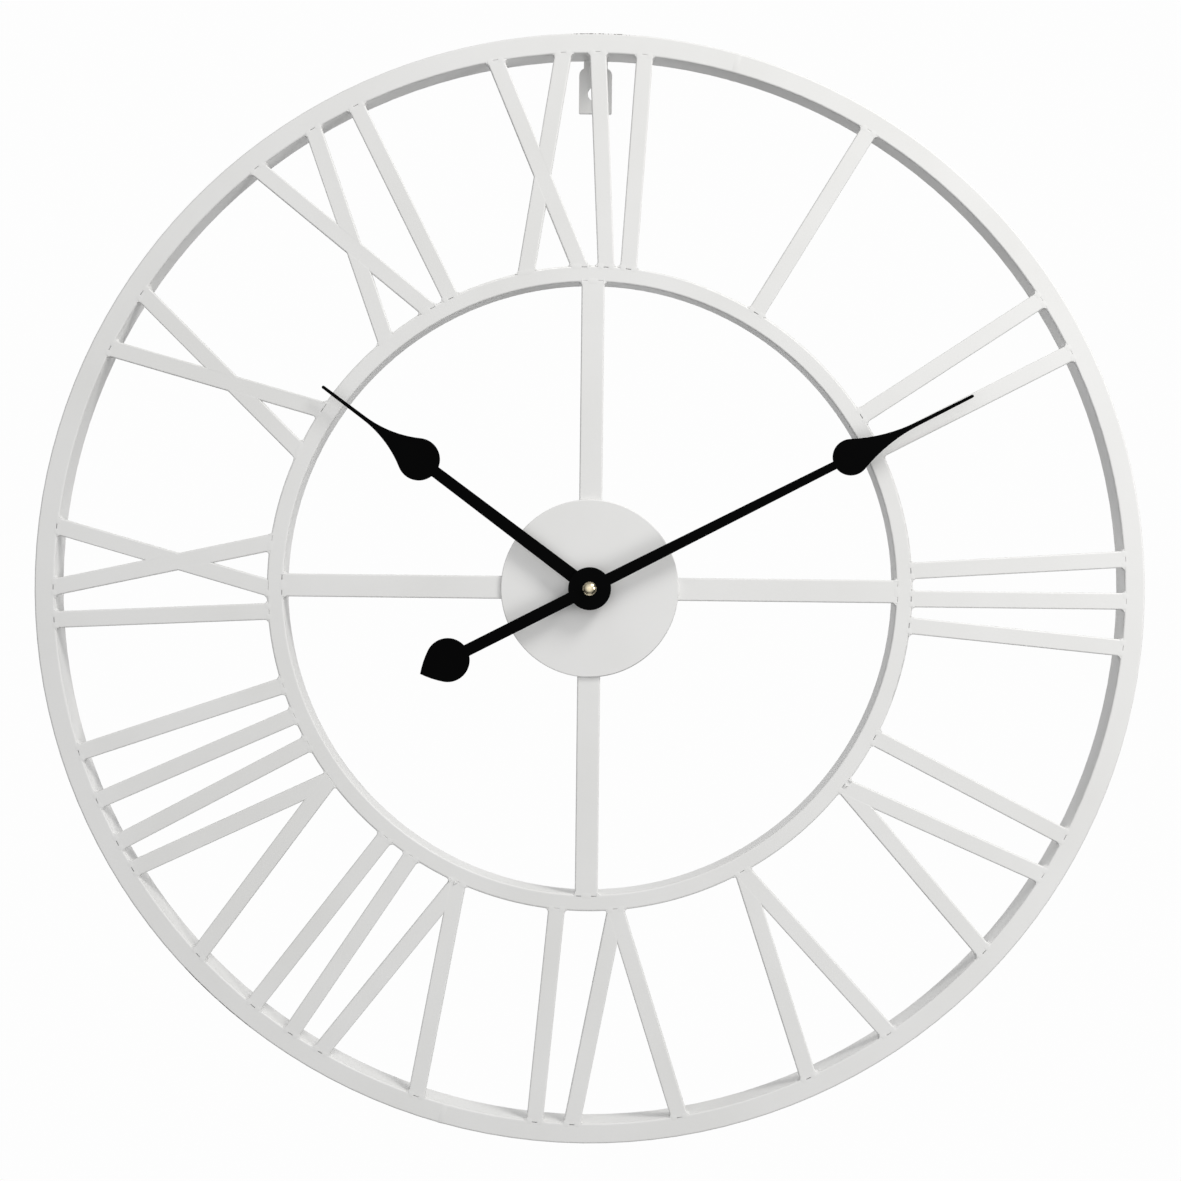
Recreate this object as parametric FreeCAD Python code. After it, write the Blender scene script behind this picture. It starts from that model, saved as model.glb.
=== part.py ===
import FreeCAD, Part

import math
import os

# Large openwork wall clock: two rings of steel tube, Roman numerals of flat bar welded between
# them, four spokes, a round centre plate with a quartz movement behind it, and a pair of
# spade hands.
#
# Frame: millimetres, +Z up. The wall is the plane y = 0 and the dial looks along -Y, so that
# +X is to the right of a person who reads it. The origin is the centre of the hanging hole on
# the wall plane. Every piece is built about the dial's axis and moved down by HANG_HEIGHT.
# Bearings are degrees clockwise from twelve o'clock.

# Frame
OUTER_DIAMETER = 600.0
OUTER_RING_WIDTH = 11.0
INNER_RING_DIAMETER = 349.0
INNER_RING_WIDTH = 9.0
RING_DEPTH = 20.0
RING_WALL = 1.2
RING_CORNER = 1.0
OUTER_SEAM_BEARING = 15.0
INNER_SEAM_BEARING = 18.0
NUMERAL_BAR_WIDTH = 9.0
NUMERAL_BAR_DEPTH = 5.0
SPOKE_WIDTH = 12.4
SPOKE_DEPTH = 5.0
BAR_CORNER = 0.8

# Centre plate and hanging plate
DISC_DIAMETER = 96.0
DISC_THICKNESS = 1.5
DISC_EDGE = 0.5
DISC_LAP = 7.0
HANG_DROP = 18.0
HANGER_WIDTH = 18.0
HANGER_NECK = 13.0
HANGER_THICKNESS = 2.0
HANGER_TAIL = 11.0
HANGER_SHOULDER = 4.0
HANGER_HOLE_RADIUS = 4.25

# Hands, along their own length from the dial's axis
MINUTE_BEARING = 62.65
MINUTE_LENGTH = 230.0
MINUTE_ROOT_WIDTH = 6.4
MINUTE_STEM_WIDTH = 4.4
MINUTE_SPADE_AT = 156.5
MINUTE_SPADE_RADIUS = 9.8
MINUTE_NEEDLE_AT = 197.0
TAIL_LEAF_AT = 85.0
TAIL_LEAF_RADIUS = 11.8
TAIL_FLANK_RADIUS = 50.0
TAIL_LENGTH = 101.5
HOUR_BEARING = 306.45
HOUR_LENGTH = 180.0
HOUR_ROOT_WIDTH = 7.4
HOUR_STEM_WIDTH = 6.2
HOUR_SPADE_AT = 115.0
HOUR_SPADE_RADIUS = 11.4
HOUR_NEEDLE_AT = 152.0
NEEDLE_WIDTH = 2.2
NEEDLE_TIP_WIDTH = 1.7
HAND_HUB_RADIUS = 11.5
HAND_THICKNESS = 0.8

# Movement: outside sizes and walls
CASE_CORNER = 3.0
CASE_WALL = 1.2
COVER_THICKNESS = 1.2
COVER_LIP = 1.0
GASKET_THICKNESS = 1.0
GASKET_RADIUS = 17.0
BATTERY_RADIUS = 7.25
BATTERY_LENGTH = 50.5
BATTERY_NUB_LENGTH = 1.0
BATTERY_NUB_RADIUS = 2.75
BATTERY_GAP = 0.5
BATTERY_FLOOR = 0.8
BATTERY_SEAT = 0.1
BATTERY_SUNK = 0.6
CONTACT_SHEET = 0.4
CONTACT_WIDTH = 6.0
CONTACT_GAP = 0.05
CONTACT_BOW = 2.2
CONTACT_LAP = 4.0
POST_RADIUS = 1.3
POST_INSET = 2.2
PEG_RADIUS = 0.7
BOSS_RADIUS = 1.5

# Centre stack, along the dial's axis
BUSHING_RADIUS = 3.95
BUSHING_FLANGE_RADIUS = 5.0
BUSHING_FLANGE_THICKNESS = 0.8
BUSHING_REACH = 6.5
WASHER_RADIUS = 7.5
WASHER_THICKNESS = 0.5
NUT_ACROSS_FLATS = 11.0
NUT_HEIGHT = 2.2
HOUR_TUBE_RADIUS = 2.5
HOUR_TUBE_REACH = 2.7
HOUR_COLLET_RADIUS = 4.4
HOUR_COLLET_BARREL = 3.4
MINUTE_ARBOR_RADIUS = 1.6
COLLAR_RADIUS = 2.4
MINUTE_COLLET_RADIUS = 3.6
MINUTE_COLLET_BARREL = 2.6
HAND_SPACING = 3.6
COLLET_FLANGE = 0.8
COLLET_PROUD = 0.4
TIP_THREAD_RADIUS = 1.0
TIP_THREAD_LENGTH = 2.0
CAP_NUT_RADIUS = 3.8
CAP_NUT_RIM = 1.2
CAP_NUT_HEIGHT = 3.2

# Wheels: modules, teeth and thicknesses
MOTION_MODULE = 0.4
CANNON_TEETH = 12
MINUTE_WHEEL_TEETH = 36
MINUTE_PINION_TEETH = 10
HOUR_WHEEL_TEETH = 40
TRAIN_MODULE = 0.2
ROTOR_TEETH = 12
INTERMEDIATE_TEETH = 60
INTERMEDIATE_PINION_TEETH = 10
SECONDS_TEETH = 60
SECONDS_PINION_TEETH = 8
THIRD_TEETH = 60
THIRD_PINION_TEETH = 8
CENTRE_TEETH = 64
THIRD_DISTANCE = 8.0
PRESSURE_ANGLE = 20.0
ADDENDUM = 0.85
DEDENDUM = 1.25
TOOTH_SHARE = 0.40
FLANK_STEP = 0.3
WHEEL_THICKNESS = 1.0
THIN_WHEEL = 0.7
CANNON_LENGTH = 1.5
WHEEL_ROOM = 1.76
SEAT_GAP = 0.3
PROUD = 0.1
RUNNING_GAP = 0.04
LOOSE_GAP = 0.06
END_PLAY = 0.12
JOURNAL_RADIUS = 1.25
THIRD_ARBOR_RADIUS = 1.0
ARBOR_RADIUS = 0.5
PIVOT_RADIUS = 0.4
PIVOT_SINK = 0.4
MINUTE_PIVOT_RADIUS = 0.8
MINUTE_PIVOT_SINK = 0.6
KNOB_RADIUS = 5.5
KNOB_THICKNESS = 2.2
KNOB_TEETH = 24
KNOB_TOOTH_SHARE = 0.3
KNOB_GROOVE = 0.4

# Bridge, stepping motor and circuit board
BRIDGE_THICKNESS = 0.8
BRIDGE_LEFT_OVERHANG = 7.5
BRIDGE_RIGHT_OVERHANG = 6.0
BRIDGE_RIM = 1.8
BRIDGE_FLOOR_GAP = 0.6
BRIDGE_CORNER = 2.0
ROTOR_RADIUS = 2.5
ROTOR_LENGTH = 1.6
STATOR_THICKNESS = 0.6
STATOR_GAP = 0.3
STATOR_RIM = 1.0
COIL_RADIUS = 3.4
COIL_LENGTH = 21.0
COIL_X = -2.0
COIL_SPACE = 0.8
COIL_HEADROOM = 1.6
BOBBIN_FLANGE_RADIUS = 4.2
BOBBIN_FLANGE = 1.0
BOBBIN_WALL = 0.4
CORE_WIDTH = 2.4
CORE_THICKNESS = 1.0
CORE_LEG_GAP = 1.0
BOARD_THICKNESS = 0.8
BOARD_HEIGHT = 24.0
BOARD_STANDOFF = 2.6
BOARD_SPACE = 1.0
BOARD_NOTCH = 2.0
BOARD_POST_RISE = 2.0
BOARD_POST_INSET = 3.0
CHIP_RADIUS = 3.0
CHIP_HEIGHT = 1.0
CHIP_INSET = 6.0
CHIP_STEPS = 4
CRYSTAL_RADIUS = 1.0
CRYSTAL_LENGTH = 6.0
CRYSTAL_INSET = 5.0

# Bearings of the numeral strokes, tops outward: an I gives its outer and its inner end, a V
# its two outer ends and its point, and an X its two outer ends and then its two inner ends.
NUMERALS = {
    1: (("I", 30.75, 30.5),),
    2: (("I", 56.75, 57.0), ("I", 63.25, 63.75)),
    3: (("I", 86.25, 86.25), ("I", 90.75, 91.25), ("I", 95.75, 96.0)),
    4: (("I", 117.0, 117.0), ("V", 121.75, 132.0, 127.25)),
    5: (("V", 145.5, 155.25, 151.0),),
    6: (("V", 169.75, 181.25, 174.75), ("I", 185.25, 185.25)),
    7: (("V", 198.25, 209.5, 203.5), ("I", 213.25, 213.0), ("I", 218.25, 218.75)),
    8: (("V", 226.25, 237.75, 233.0), ("I", 241.0, 240.5), ("I", 246.0, 246.0), ("I", 251.5, 251.75)),
    9: (("I", 266.0, 265.25), ("X", 269.5, 276.0, 269.5, 277.5)),
    10: (("X", 296.0, 302.75, 294.75, 303.0),),
    11: (("X", 321.0, 328.25, 320.0, 329.25), ("I", 333.5, 333.75)),
    12: (("X", 349.25, 356.5, 348.0, 357.5), ("I", 0.25, 2.25), ("I", 5.25, 6.25)),
}
SPOKES = {"spoke_twelve": 0.0, "spoke_three": 90.0, "spoke_six": 180.0, "spoke_nine": 270.0}

# Radii of the frame
OUTER_RADIUS = OUTER_DIAMETER / 2
OUTER_RING_INSIDE = OUTER_RADIUS - OUTER_RING_WIDTH
INNER_RING_OUTSIDE = INNER_RING_DIAMETER / 2
INNER_RING_INSIDE = INNER_RING_OUTSIDE - INNER_RING_WIDTH
DISC_RADIUS = DISC_DIAMETER / 2
HANG_HEIGHT = OUTER_RING_INSIDE - HANG_DROP

# Planes along y, from the wall forward
CASE_DEPTH = BATTERY_FLOOR + BATTERY_SEAT + 2 * BATTERY_RADIUS + BATTERY_SUNK
FRONT = -RING_DEPTH
DISC_FRONT = FRONT - DISC_THICKNESS
CASE_FRONT = FRONT + GASKET_THICKNESS
CASE_BACK = CASE_FRONT + CASE_DEPTH
COVER_INSIDE = CASE_BACK - COVER_THICKNESS
CASE_INSIDE = CASE_FRONT + CASE_WALL
NUT_BACK = DISC_FRONT - WASHER_THICKNESS
BUSHING_END = CASE_FRONT - BUSHING_REACH
HOUR_TUBE_END = BUSHING_END - HOUR_TUBE_REACH
HOUR_HAND_BACK = HOUR_TUBE_END + COLLET_PROUD + 2 * SEAT_GAP + COLLET_PROUD
MINUTE_HAND_BACK = HOUR_HAND_BACK - HAND_SPACING
MINUTE_HAND_FRONT = MINUTE_HAND_BACK - HAND_THICKNESS
ARBOR_SHOULDER = MINUTE_HAND_FRONT - COLLET_PROUD

# Layers of the wheels, front face of each
HOUR_WHEEL_FRONT = CASE_INSIDE + SEAT_GAP
CANNON_FRONT = HOUR_WHEEL_FRONT + WHEEL_THICKNESS + SEAT_GAP
CENTRE_WHEEL_FRONT = CANNON_FRONT + CANNON_LENGTH + SEAT_GAP
COLLAR_FRONT = CENTRE_WHEEL_FRONT + WHEEL_THICKNESS + SEAT_GAP
BRIDGE_FRONT = COLLAR_FRONT + 2 * SEAT_GAP
BRIDGE_BACK = BRIDGE_FRONT + BRIDGE_THICKNESS
STATOR_FRONT = BRIDGE_BACK + BRIDGE_THICKNESS
THIRD_WHEEL_FRONT = BRIDGE_BACK + 4 * SEAT_GAP
SECONDS_WHEEL_FRONT = THIRD_WHEEL_FRONT + WHEEL_THICKNESS + SEAT_GAP
INTERMEDIATE_WHEEL_FRONT = SECONDS_WHEEL_FRONT + WHEEL_THICKNESS + SEAT_GAP
BOSS_FRONT = INTERMEDIATE_WHEEL_FRONT + WHEEL_THICKNESS + 2 * SEAT_GAP
PIVOT_END = COVER_INSIDE - SEAT_GAP

# Places of the arbors across the dial
MOTION_DISTANCE = MOTION_MODULE * (MINUTE_PINION_TEETH + HOUR_WHEEL_TEETH) / 2
INTERMEDIATE_DISTANCE = TRAIN_MODULE * (INTERMEDIATE_PINION_TEETH + SECONDS_TEETH) / 2
ROTOR_DISTANCE = TRAIN_MODULE * (ROTOR_TEETH + INTERMEDIATE_TEETH) / 2
MINUTE_WHEEL_ANGLE = 180.0
THIRD_ANGLE = -5.0
INTERMEDIATE_ANGLE = 120.0
ROTOR_ANGLE = 100.0

# Chamber of the wheels, and the battery bay under it
CHAMBER_FLOOR = -MOTION_MODULE * (HOUR_WHEEL_TEETH / 2 + ADDENDUM) - WHEEL_ROOM
BAY_TOP = CHAMBER_FLOOR - CASE_WALL
BATTERY_Z = BAY_TOP - BATTERY_GAP - BATTERY_RADIUS
BAY_BOTTOM = BATTERY_Z - BATTERY_RADIUS - BATTERY_GAP
BAY_FLOOR = CASE_FRONT + BATTERY_FLOOR
BATTERY_Y = BAY_FLOOR + BATTERY_SEAT + BATTERY_RADIUS

# Train bridge, drive coil and the case round them
BRIDGE_LEFT = -MOTION_DISTANCE - BRIDGE_LEFT_OVERHANG
BRIDGE_RIGHT = THIRD_DISTANCE + BRIDGE_RIGHT_OVERHANG
BRIDGE_BOTTOM = CHAMBER_FLOOR + BRIDGE_FLOOR_GAP
BRIDGE_TOP = INTERMEDIATE_DISTANCE + ROTOR_DISTANCE + BRIDGE_RIM
COIL_Z = BRIDGE_TOP + COIL_SPACE + BOBBIN_FLANGE_RADIUS
INSIDE_HALF = (BATTERY_LENGTH + CONTACT_BOW) / 2 + CONTACT_SHEET + CONTACT_GAP
INSIDE_TOP = COIL_Z + BOBBIN_FLANGE_RADIUS + COIL_HEADROOM
CASE_HALF = INSIDE_HALF + CASE_WALL
CASE_BOTTOM = BAY_BOTTOM - CASE_WALL
CASE_TOP = INSIDE_TOP + CASE_WALL

# Circuit board, beside the bridge
BOARD_LEFT = BRIDGE_RIGHT + BOARD_SPACE
BOARD_RIGHT = INSIDE_HALF - CONTACT_SHEET - CONTACT_GAP
BOARD_BOTTOM = CHAMBER_FLOOR + 2 * CONTACT_SHEET
BOARD_TOP = BOARD_BOTTOM + BOARD_HEIGHT
BOARD_FRONT = CASE_INSIDE + BOARD_STANDOFF


def polar(distance, degrees):
    """Place on the dial at an angle counted from +X towards +Z."""
    angle = math.radians(degrees)
    return distance * math.cos(angle), distance * math.sin(angle)


def on_bearing(radius, bearing):
    """Place on the dial at a radius and a clockwise bearing from twelve."""
    return polar(radius, 90.0 - bearing)


def rod(radius, front, back, x=0.0, z=0.0):
    """Round bar along the dial's axis."""
    return Part.makeCylinder(radius, back - front, FreeCAD.Vector(x, front, z), FreeCAD.Vector(0, 1, 0))


def block(x0, x1, y0, y1, z0, z1):
    """Plain box between two corners."""
    return Part.makeBox(x1 - x0, y1 - y0, z1 - z0, FreeCAD.Vector(x0, y0, z0))


def rounded_face(u0, u1, v0, v1, radius, at):
    """Rectangle with rounded corners; at(u, v) puts a point of it in space."""
    corners = (
        (u1 - radius, v0 + radius),
        (u1 - radius, v1 - radius),
        (u0 + radius, v1 - radius),
        (u0 + radius, v0 + radius),
    )
    arcs = []
    for quarter, (u, v) in enumerate(corners):
        points = []
        for half_step in range(3):
            du, dv = polar(radius, 90.0 * quarter - 90.0 + 45.0 * half_step)
            points.append(at(u + du, v + dv))
        arcs.append(points)
    edges = []
    for index, points in enumerate(arcs):
        following = arcs[(index + 1) % len(arcs)]
        edges.append(Part.Arc(*points).toShape())
        edges.append(Part.LineSegment(points[-1], following[0]).toShape())
    return Part.Face(Part.Wire(edges))


def rounded_plate(x0, x1, z0, z1, radius, front, back):
    """Flat plate across the dial with rounded corners."""
    face = rounded_face(x0, x1, z0, z1, radius, lambda u, v: FreeCAD.Vector(u, front, v))
    return face.extrude(FreeCAD.Vector(0, back - front, 0))


def turned(profile, x=0.0, z=0.0):
    """Lathe-turned piece from its half profile of (radius, y) points."""
    points = [FreeCAD.Vector(radius, y, 0) for radius, y in profile]
    face = Part.Face(Part.makePolygon(points + points[:1]))
    solid = face.revolve(FreeCAD.Vector(0, 0, 0), FreeCAD.Vector(0, 1, 0), 360)
    solid.translate(FreeCAD.Vector(x, 0, z))
    return solid


def stepped(steps, x=0.0, z=0.0):
    """Arbor from (radius, front, back) steps that follow each other."""
    body = rod(*steps[0], x, z)
    for step in steps[1:]:
        body = body.fuse(rod(*step, x, z))
    return body


def prism(points, front, back):
    """Straight-sided plate from its outline of (x, z) points."""
    outline = [FreeCAD.Vector(x, front, z) for x, z in points]
    face = Part.Face(Part.makePolygon(outline + outline[:1]))
    return face.extrude(FreeCAD.Vector(0, back - front, 0))


def ring_section(inside, outside, inset):
    """Face of a ring's rounded section, drawn at +X and made smaller all round by inset."""
    return rounded_face(
        inside + inset,
        outside - inset,
        FRONT + inset,
        -inset,
        RING_CORNER,
        lambda u, v: FreeCAD.Vector(u, v, 0),
    )


def ring(inside, outside, seam, turn=360.0, wall=None):
    """Ring or arc of tube, bent clockwise from a seam that is clear of every bar; solid without a wall."""
    centre = FreeCAD.Vector(0, 0, 0)
    axis = FreeCAD.Vector(0, 1, 0)
    body = ring_section(inside, outside, 0.0).revolve(centre, axis, turn)
    if wall is not None:
        body = body.cut(ring_section(inside, outside, wall).revolve(centre, axis, turn))
    body.rotate(centre, axis, seam - 90.0)
    return body


def flat_bar(start, end, width, depth):
    """Flat bar with rounded edges between two places on the dial, its face on the front plane."""
    start_point = FreeCAD.Vector(start[0], 0, start[1])
    run = FreeCAD.Vector(end[0], 0, end[1]) - start_point
    side = FreeCAD.Vector(-run.z, 0, run.x).normalize()
    face = rounded_face(
        -width / 2,
        width / 2,
        FRONT,
        FRONT + depth,
        BAR_CORNER,
        lambda u, v: start_point + side * u + FreeCAD.Vector(0, v, 0),
    )
    return face.extrude(run)


def numeral_stroke(outer_bearing, inner_bearing):
    """One bar of a numeral, long enough to run half a ring's width into both rings."""
    outer = on_bearing(OUTER_RING_INSIDE, outer_bearing)
    inner = on_bearing(INNER_RING_OUTSIDE, inner_bearing)
    length = math.dist(outer, inner)
    along_x_share = (outer[0] - inner[0]) / length
    along_z_share = (outer[1] - inner[1]) / length
    start = (
        outer[0] + along_x_share * OUTER_RING_WIDTH / 2,
        outer[1] + along_z_share * OUTER_RING_WIDTH / 2,
    )
    end = (
        inner[0] - along_x_share * INNER_RING_WIDTH / 2,
        inner[1] - along_z_share * INNER_RING_WIDTH / 2,
    )
    return flat_bar(start, end, NUMERAL_BAR_WIDTH, NUMERAL_BAR_DEPTH)


def glyph_strokes(glyph):
    """Bars of one letter; where two cross or meet, the second is cut to fit the first."""
    letter = glyph[0]
    if letter == "I":
        return [numeral_stroke(glyph[1], glyph[2])]
    if letter == "V":
        pairs = ((glyph[1], glyph[3]), (glyph[2], glyph[3]))
    else:
        pairs = ((glyph[1], glyph[4]), (glyph[2], glyph[3]))
    first = numeral_stroke(*pairs[0])
    second = numeral_stroke(*pairs[1])
    return [first, second.cut(first)]


def numeral(glyphs, fitted):
    """All bars of one hour, trimmed so that their ends close on the rings."""
    solids = []
    for glyph in glyphs:
        for bar in glyph_strokes(glyph):
            solids.extend(fitted(bar).Solids)
    return Part.makeCompound(solids)


def frame_pieces():
    """Rings, numerals, spokes, centre plate and hanging plate."""
    outer_sizes = (OUTER_RING_INSIDE, OUTER_RADIUS)
    inner_sizes = (INNER_RING_INSIDE, INNER_RING_OUTSIDE)
    outer_solid = ring(*outer_sizes, OUTER_SEAM_BEARING)
    inner_solid = ring(*inner_sizes, INNER_SEAM_BEARING)

    def between_rings(bar):
        return bar.cut(outer_solid).cut(inner_solid)

    pieces = {
        "outer_ring_right": ring(*outer_sizes, OUTER_SEAM_BEARING, 180.0, RING_WALL),
        "outer_ring_left": ring(*outer_sizes, OUTER_SEAM_BEARING + 180.0, 180.0, RING_WALL),
        "inner_ring": ring(*inner_sizes, INNER_SEAM_BEARING, wall=RING_WALL),
    }
    for hour, glyphs in NUMERALS.items():
        pieces[f"numeral_{hour:02d}"] = numeral(glyphs, between_rings)
    for name, bearing in SPOKES.items():
        start = on_bearing(INNER_RING_INSIDE + INNER_RING_WIDTH / 2, bearing)
        end = on_bearing(DISC_RADIUS - DISC_LAP, bearing)
        pieces[name] = flat_bar(start, end, SPOKE_WIDTH, SPOKE_DEPTH).cut(inner_solid)
    pieces["centre_disc"] = centre_disc()
    pieces["hanger_plate"] = hanger_plate(outer_solid)
    return pieces


def centre_disc():
    """Round plate over the spokes' ends, with the hole that the movement's bushing fills."""
    face = rounded_face(
        BUSHING_RADIUS + CONTACT_GAP,
        DISC_RADIUS,
        DISC_FRONT,
        FRONT,
        DISC_EDGE,
        lambda u, v: FreeCAD.Vector(u, v, 0),
    )
    return face.revolve(FreeCAD.Vector(0, 0, 0), FreeCAD.Vector(0, 1, 0), 360)


def hanger_plate(outer_solid):
    """Hanging plate at twelve: a neck on the ring's back edge, round shoulders and a hole."""
    bottom = HANG_HEIGHT - HANGER_TAIL
    neck_foot = OUTER_RING_INSIDE - HANGER_SHOULDER
    body = rounded_plate(
        -HANGER_WIDTH / 2,
        HANGER_WIDTH / 2,
        bottom,
        neck_foot,
        HANGER_SHOULDER,
        -HANGER_THICKNESS,
        0.0,
    )
    foot = rounded_plate(
        -HANGER_WIDTH / 2,
        HANGER_WIDTH / 2,
        bottom,
        HANG_HEIGHT,
        BAR_CORNER,
        -HANGER_THICKNESS,
        0.0,
    )
    neck = block(
        -HANGER_NECK / 2,
        HANGER_NECK / 2,
        -HANGER_THICKNESS,
        0.0,
        HANG_HEIGHT,
        OUTER_RING_INSIDE + RING_CORNER,
    )
    hole = rod(HANGER_HOLE_RADIUS, -HANGER_THICKNESS, 0.0, 0.0, HANG_HEIGHT)
    plate = body.fuse(foot).fuse(neck).removeSplitter().cut(hole).cut(outer_solid)
    return plate.common(rod(OUTER_RING_INSIDE + RING_CORNER, -HANGER_THICKNESS, 0.0))


def spade_edges(root, stem_half, spade_at, spade_radius, needle_at, length, side):
    """One side of a spade hand: stem, round shoulder, hollow flank, needle and half the tip."""
    needle_half = NEEDLE_WIDTH / 2
    reach = needle_at - spade_at
    flank = (reach**2 + needle_half**2 - spade_radius**2) / (2 * (spade_radius - needle_half))
    lean = math.degrees(math.asin((needle_half + flank) / (spade_radius + flank)))
    join = 180.0 - math.degrees(math.asin(stem_half / spade_radius))
    flank_centre = (needle_at, needle_half + flank)
    tip_half = NEEDLE_TIP_WIDTH / 2

    def on_spade(degrees):
        u, v = polar(spade_radius, degrees)
        return FreeCAD.Vector(spade_at + u, 0, side * v)

    def on_flank(degrees):
        u, v = polar(flank, degrees)
        return FreeCAD.Vector(flank_centre[0] + u, 0, side * (flank_centre[1] + v))

    middle = (180.0 + lean + 270.0) / 2
    needle_foot = FreeCAD.Vector(needle_at, 0, side * needle_half)
    tip_side = FreeCAD.Vector(length - tip_half, 0, side * tip_half)
    tip_turn = FreeCAD.Vector(
        length - tip_half * (1 - math.cos(math.pi / 4)), 0, side * tip_half * math.sin(math.pi / 4)
    )
    return [
        Part.LineSegment(FreeCAD.Vector(0, 0, side * root), on_spade(join)).toShape(),
        Part.Arc(on_spade(join), on_spade((join + lean) / 2), on_spade(lean)).toShape(),
        Part.Arc(on_spade(lean), on_flank(middle), needle_foot).toShape(),
        Part.LineSegment(needle_foot, tip_side).toShape(),
        Part.Arc(tip_side, tip_turn, FreeCAD.Vector(length, 0, 0)).toShape(),
    ]


def hand_blade(root_width, stem_width, spade_at, spade_radius, needle_at, length):
    """Flat blade of a hand along +X, its back on y = 0."""
    sizes = (root_width / 2, stem_width / 2, spade_at, spade_radius, needle_at, length)
    upper = spade_edges(*sizes, 1.0)
    lower = spade_edges(*sizes, -1.0)
    root = Part.LineSegment(
        FreeCAD.Vector(0, 0, -root_width / 2), FreeCAD.Vector(0, 0, root_width / 2)
    ).toShape()
    outline = Part.Wire(Part.__sortEdges__([root] + upper + lower))
    return Part.Face(outline).extrude(FreeCAD.Vector(0, -HAND_THICKNESS, 0))


def tail_blade():
    """Counterweight of the minute hand along -X: a stem that ends in a pointed leaf.

    Each side of the leaf is an arc that leaves its round base smoothly and ends at the point.
    """
    stem = block(-TAIL_LEAF_AT, 0.0, -HAND_THICKNESS, 0.0, -MINUTE_ROOT_WIDTH / 2, MINUTE_ROOT_WIDTH / 2)
    reach = TAIL_LENGTH - TAIL_LEAF_AT
    gap = TAIL_FLANK_RADIUS - TAIL_LEAF_RADIUS
    lean = math.degrees(math.acos((TAIL_FLANK_RADIUS**2 - reach**2 - gap**2) / (2 * reach * gap)))
    back_x, back_z = polar(gap, lean)
    point_lean = math.degrees(math.atan2(back_z, reach + back_x))

    def on_flank(degrees, side):
        x, z = polar(TAIL_FLANK_RADIUS, degrees)
        return FreeCAD.Vector(-TAIL_LEAF_AT + back_x - x, 0, side * (z - back_z))

    point = FreeCAD.Vector(-TAIL_LENGTH, 0, 0)
    base = FreeCAD.Vector(-TAIL_LEAF_AT + TAIL_LEAF_RADIUS, 0, 0)
    middle = (lean + point_lean) / 2
    edges = [
        Part.Arc(on_flank(lean, 1), base, on_flank(lean, -1)).toShape(),
        Part.Arc(on_flank(lean, -1), on_flank(middle, -1), point).toShape(),
        Part.Arc(point, on_flank(middle, 1), on_flank(lean, 1)).toShape(),
    ]
    leaf = Part.Face(Part.Wire(edges)).extrude(FreeCAD.Vector(0, -HAND_THICKNESS, 0))
    return stem.fuse(leaf)


def finished_hand(blade, back, hole_radius, bearing):
    """Blade with its round hub and hole, turned to its bearing and set on its plane."""
    hub = rod(HAND_HUB_RADIUS, -HAND_THICKNESS, 0.0)
    hole = rod(hole_radius, -HAND_THICKNESS, 0.0)
    hand = blade.fuse(hub).removeSplitter().cut(hole)
    hand.rotate(FreeCAD.Vector(0, 0, 0), FreeCAD.Vector(0, 1, 0), bearing - 90.0)
    hand.translate(FreeCAD.Vector(0, back, 0))
    return hand


def hand_pieces():
    """Both hands with their brass collets, and the cap nut in front of them."""
    hour_blade = hand_blade(
        HOUR_ROOT_WIDTH, HOUR_STEM_WIDTH, HOUR_SPADE_AT, HOUR_SPADE_RADIUS, HOUR_NEEDLE_AT, HOUR_LENGTH
    )
    minute_blade = hand_blade(
        MINUTE_ROOT_WIDTH,
        MINUTE_STEM_WIDTH,
        MINUTE_SPADE_AT,
        MINUTE_SPADE_RADIUS,
        MINUTE_NEEDLE_AT,
        MINUTE_LENGTH,
    )
    return {
        "hour_hand": finished_hand(hour_blade, HOUR_HAND_BACK, HOUR_COLLET_BARREL, HOUR_BEARING),
        "minute_hand": finished_hand(
            minute_blade.fuse(tail_blade()), MINUTE_HAND_BACK, MINUTE_COLLET_BARREL, MINUTE_BEARING
        ),
        "hour_collet": collet(HOUR_TUBE_RADIUS, HOUR_COLLET_BARREL, HOUR_COLLET_RADIUS, HOUR_HAND_BACK),
        "minute_collet": collet(
            MINUTE_ARBOR_RADIUS, MINUTE_COLLET_BARREL, MINUTE_COLLET_RADIUS, MINUTE_HAND_BACK
        ),
        "cap_nut": cap_nut(),
    }


def collet(bore, barrel, flange, hand_back):
    """Riveted brass collet: a flange behind the hand and a barrel through it."""
    barrel_end = hand_back - HAND_THICKNESS - COLLET_PROUD
    flange_back = hand_back + COLLET_FLANGE
    return turned(
        (
            (bore, barrel_end),
            (barrel, barrel_end),
            (barrel, hand_back),
            (flange, hand_back),
            (flange, flange_back),
            (bore, flange_back),
        )
    )


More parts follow.
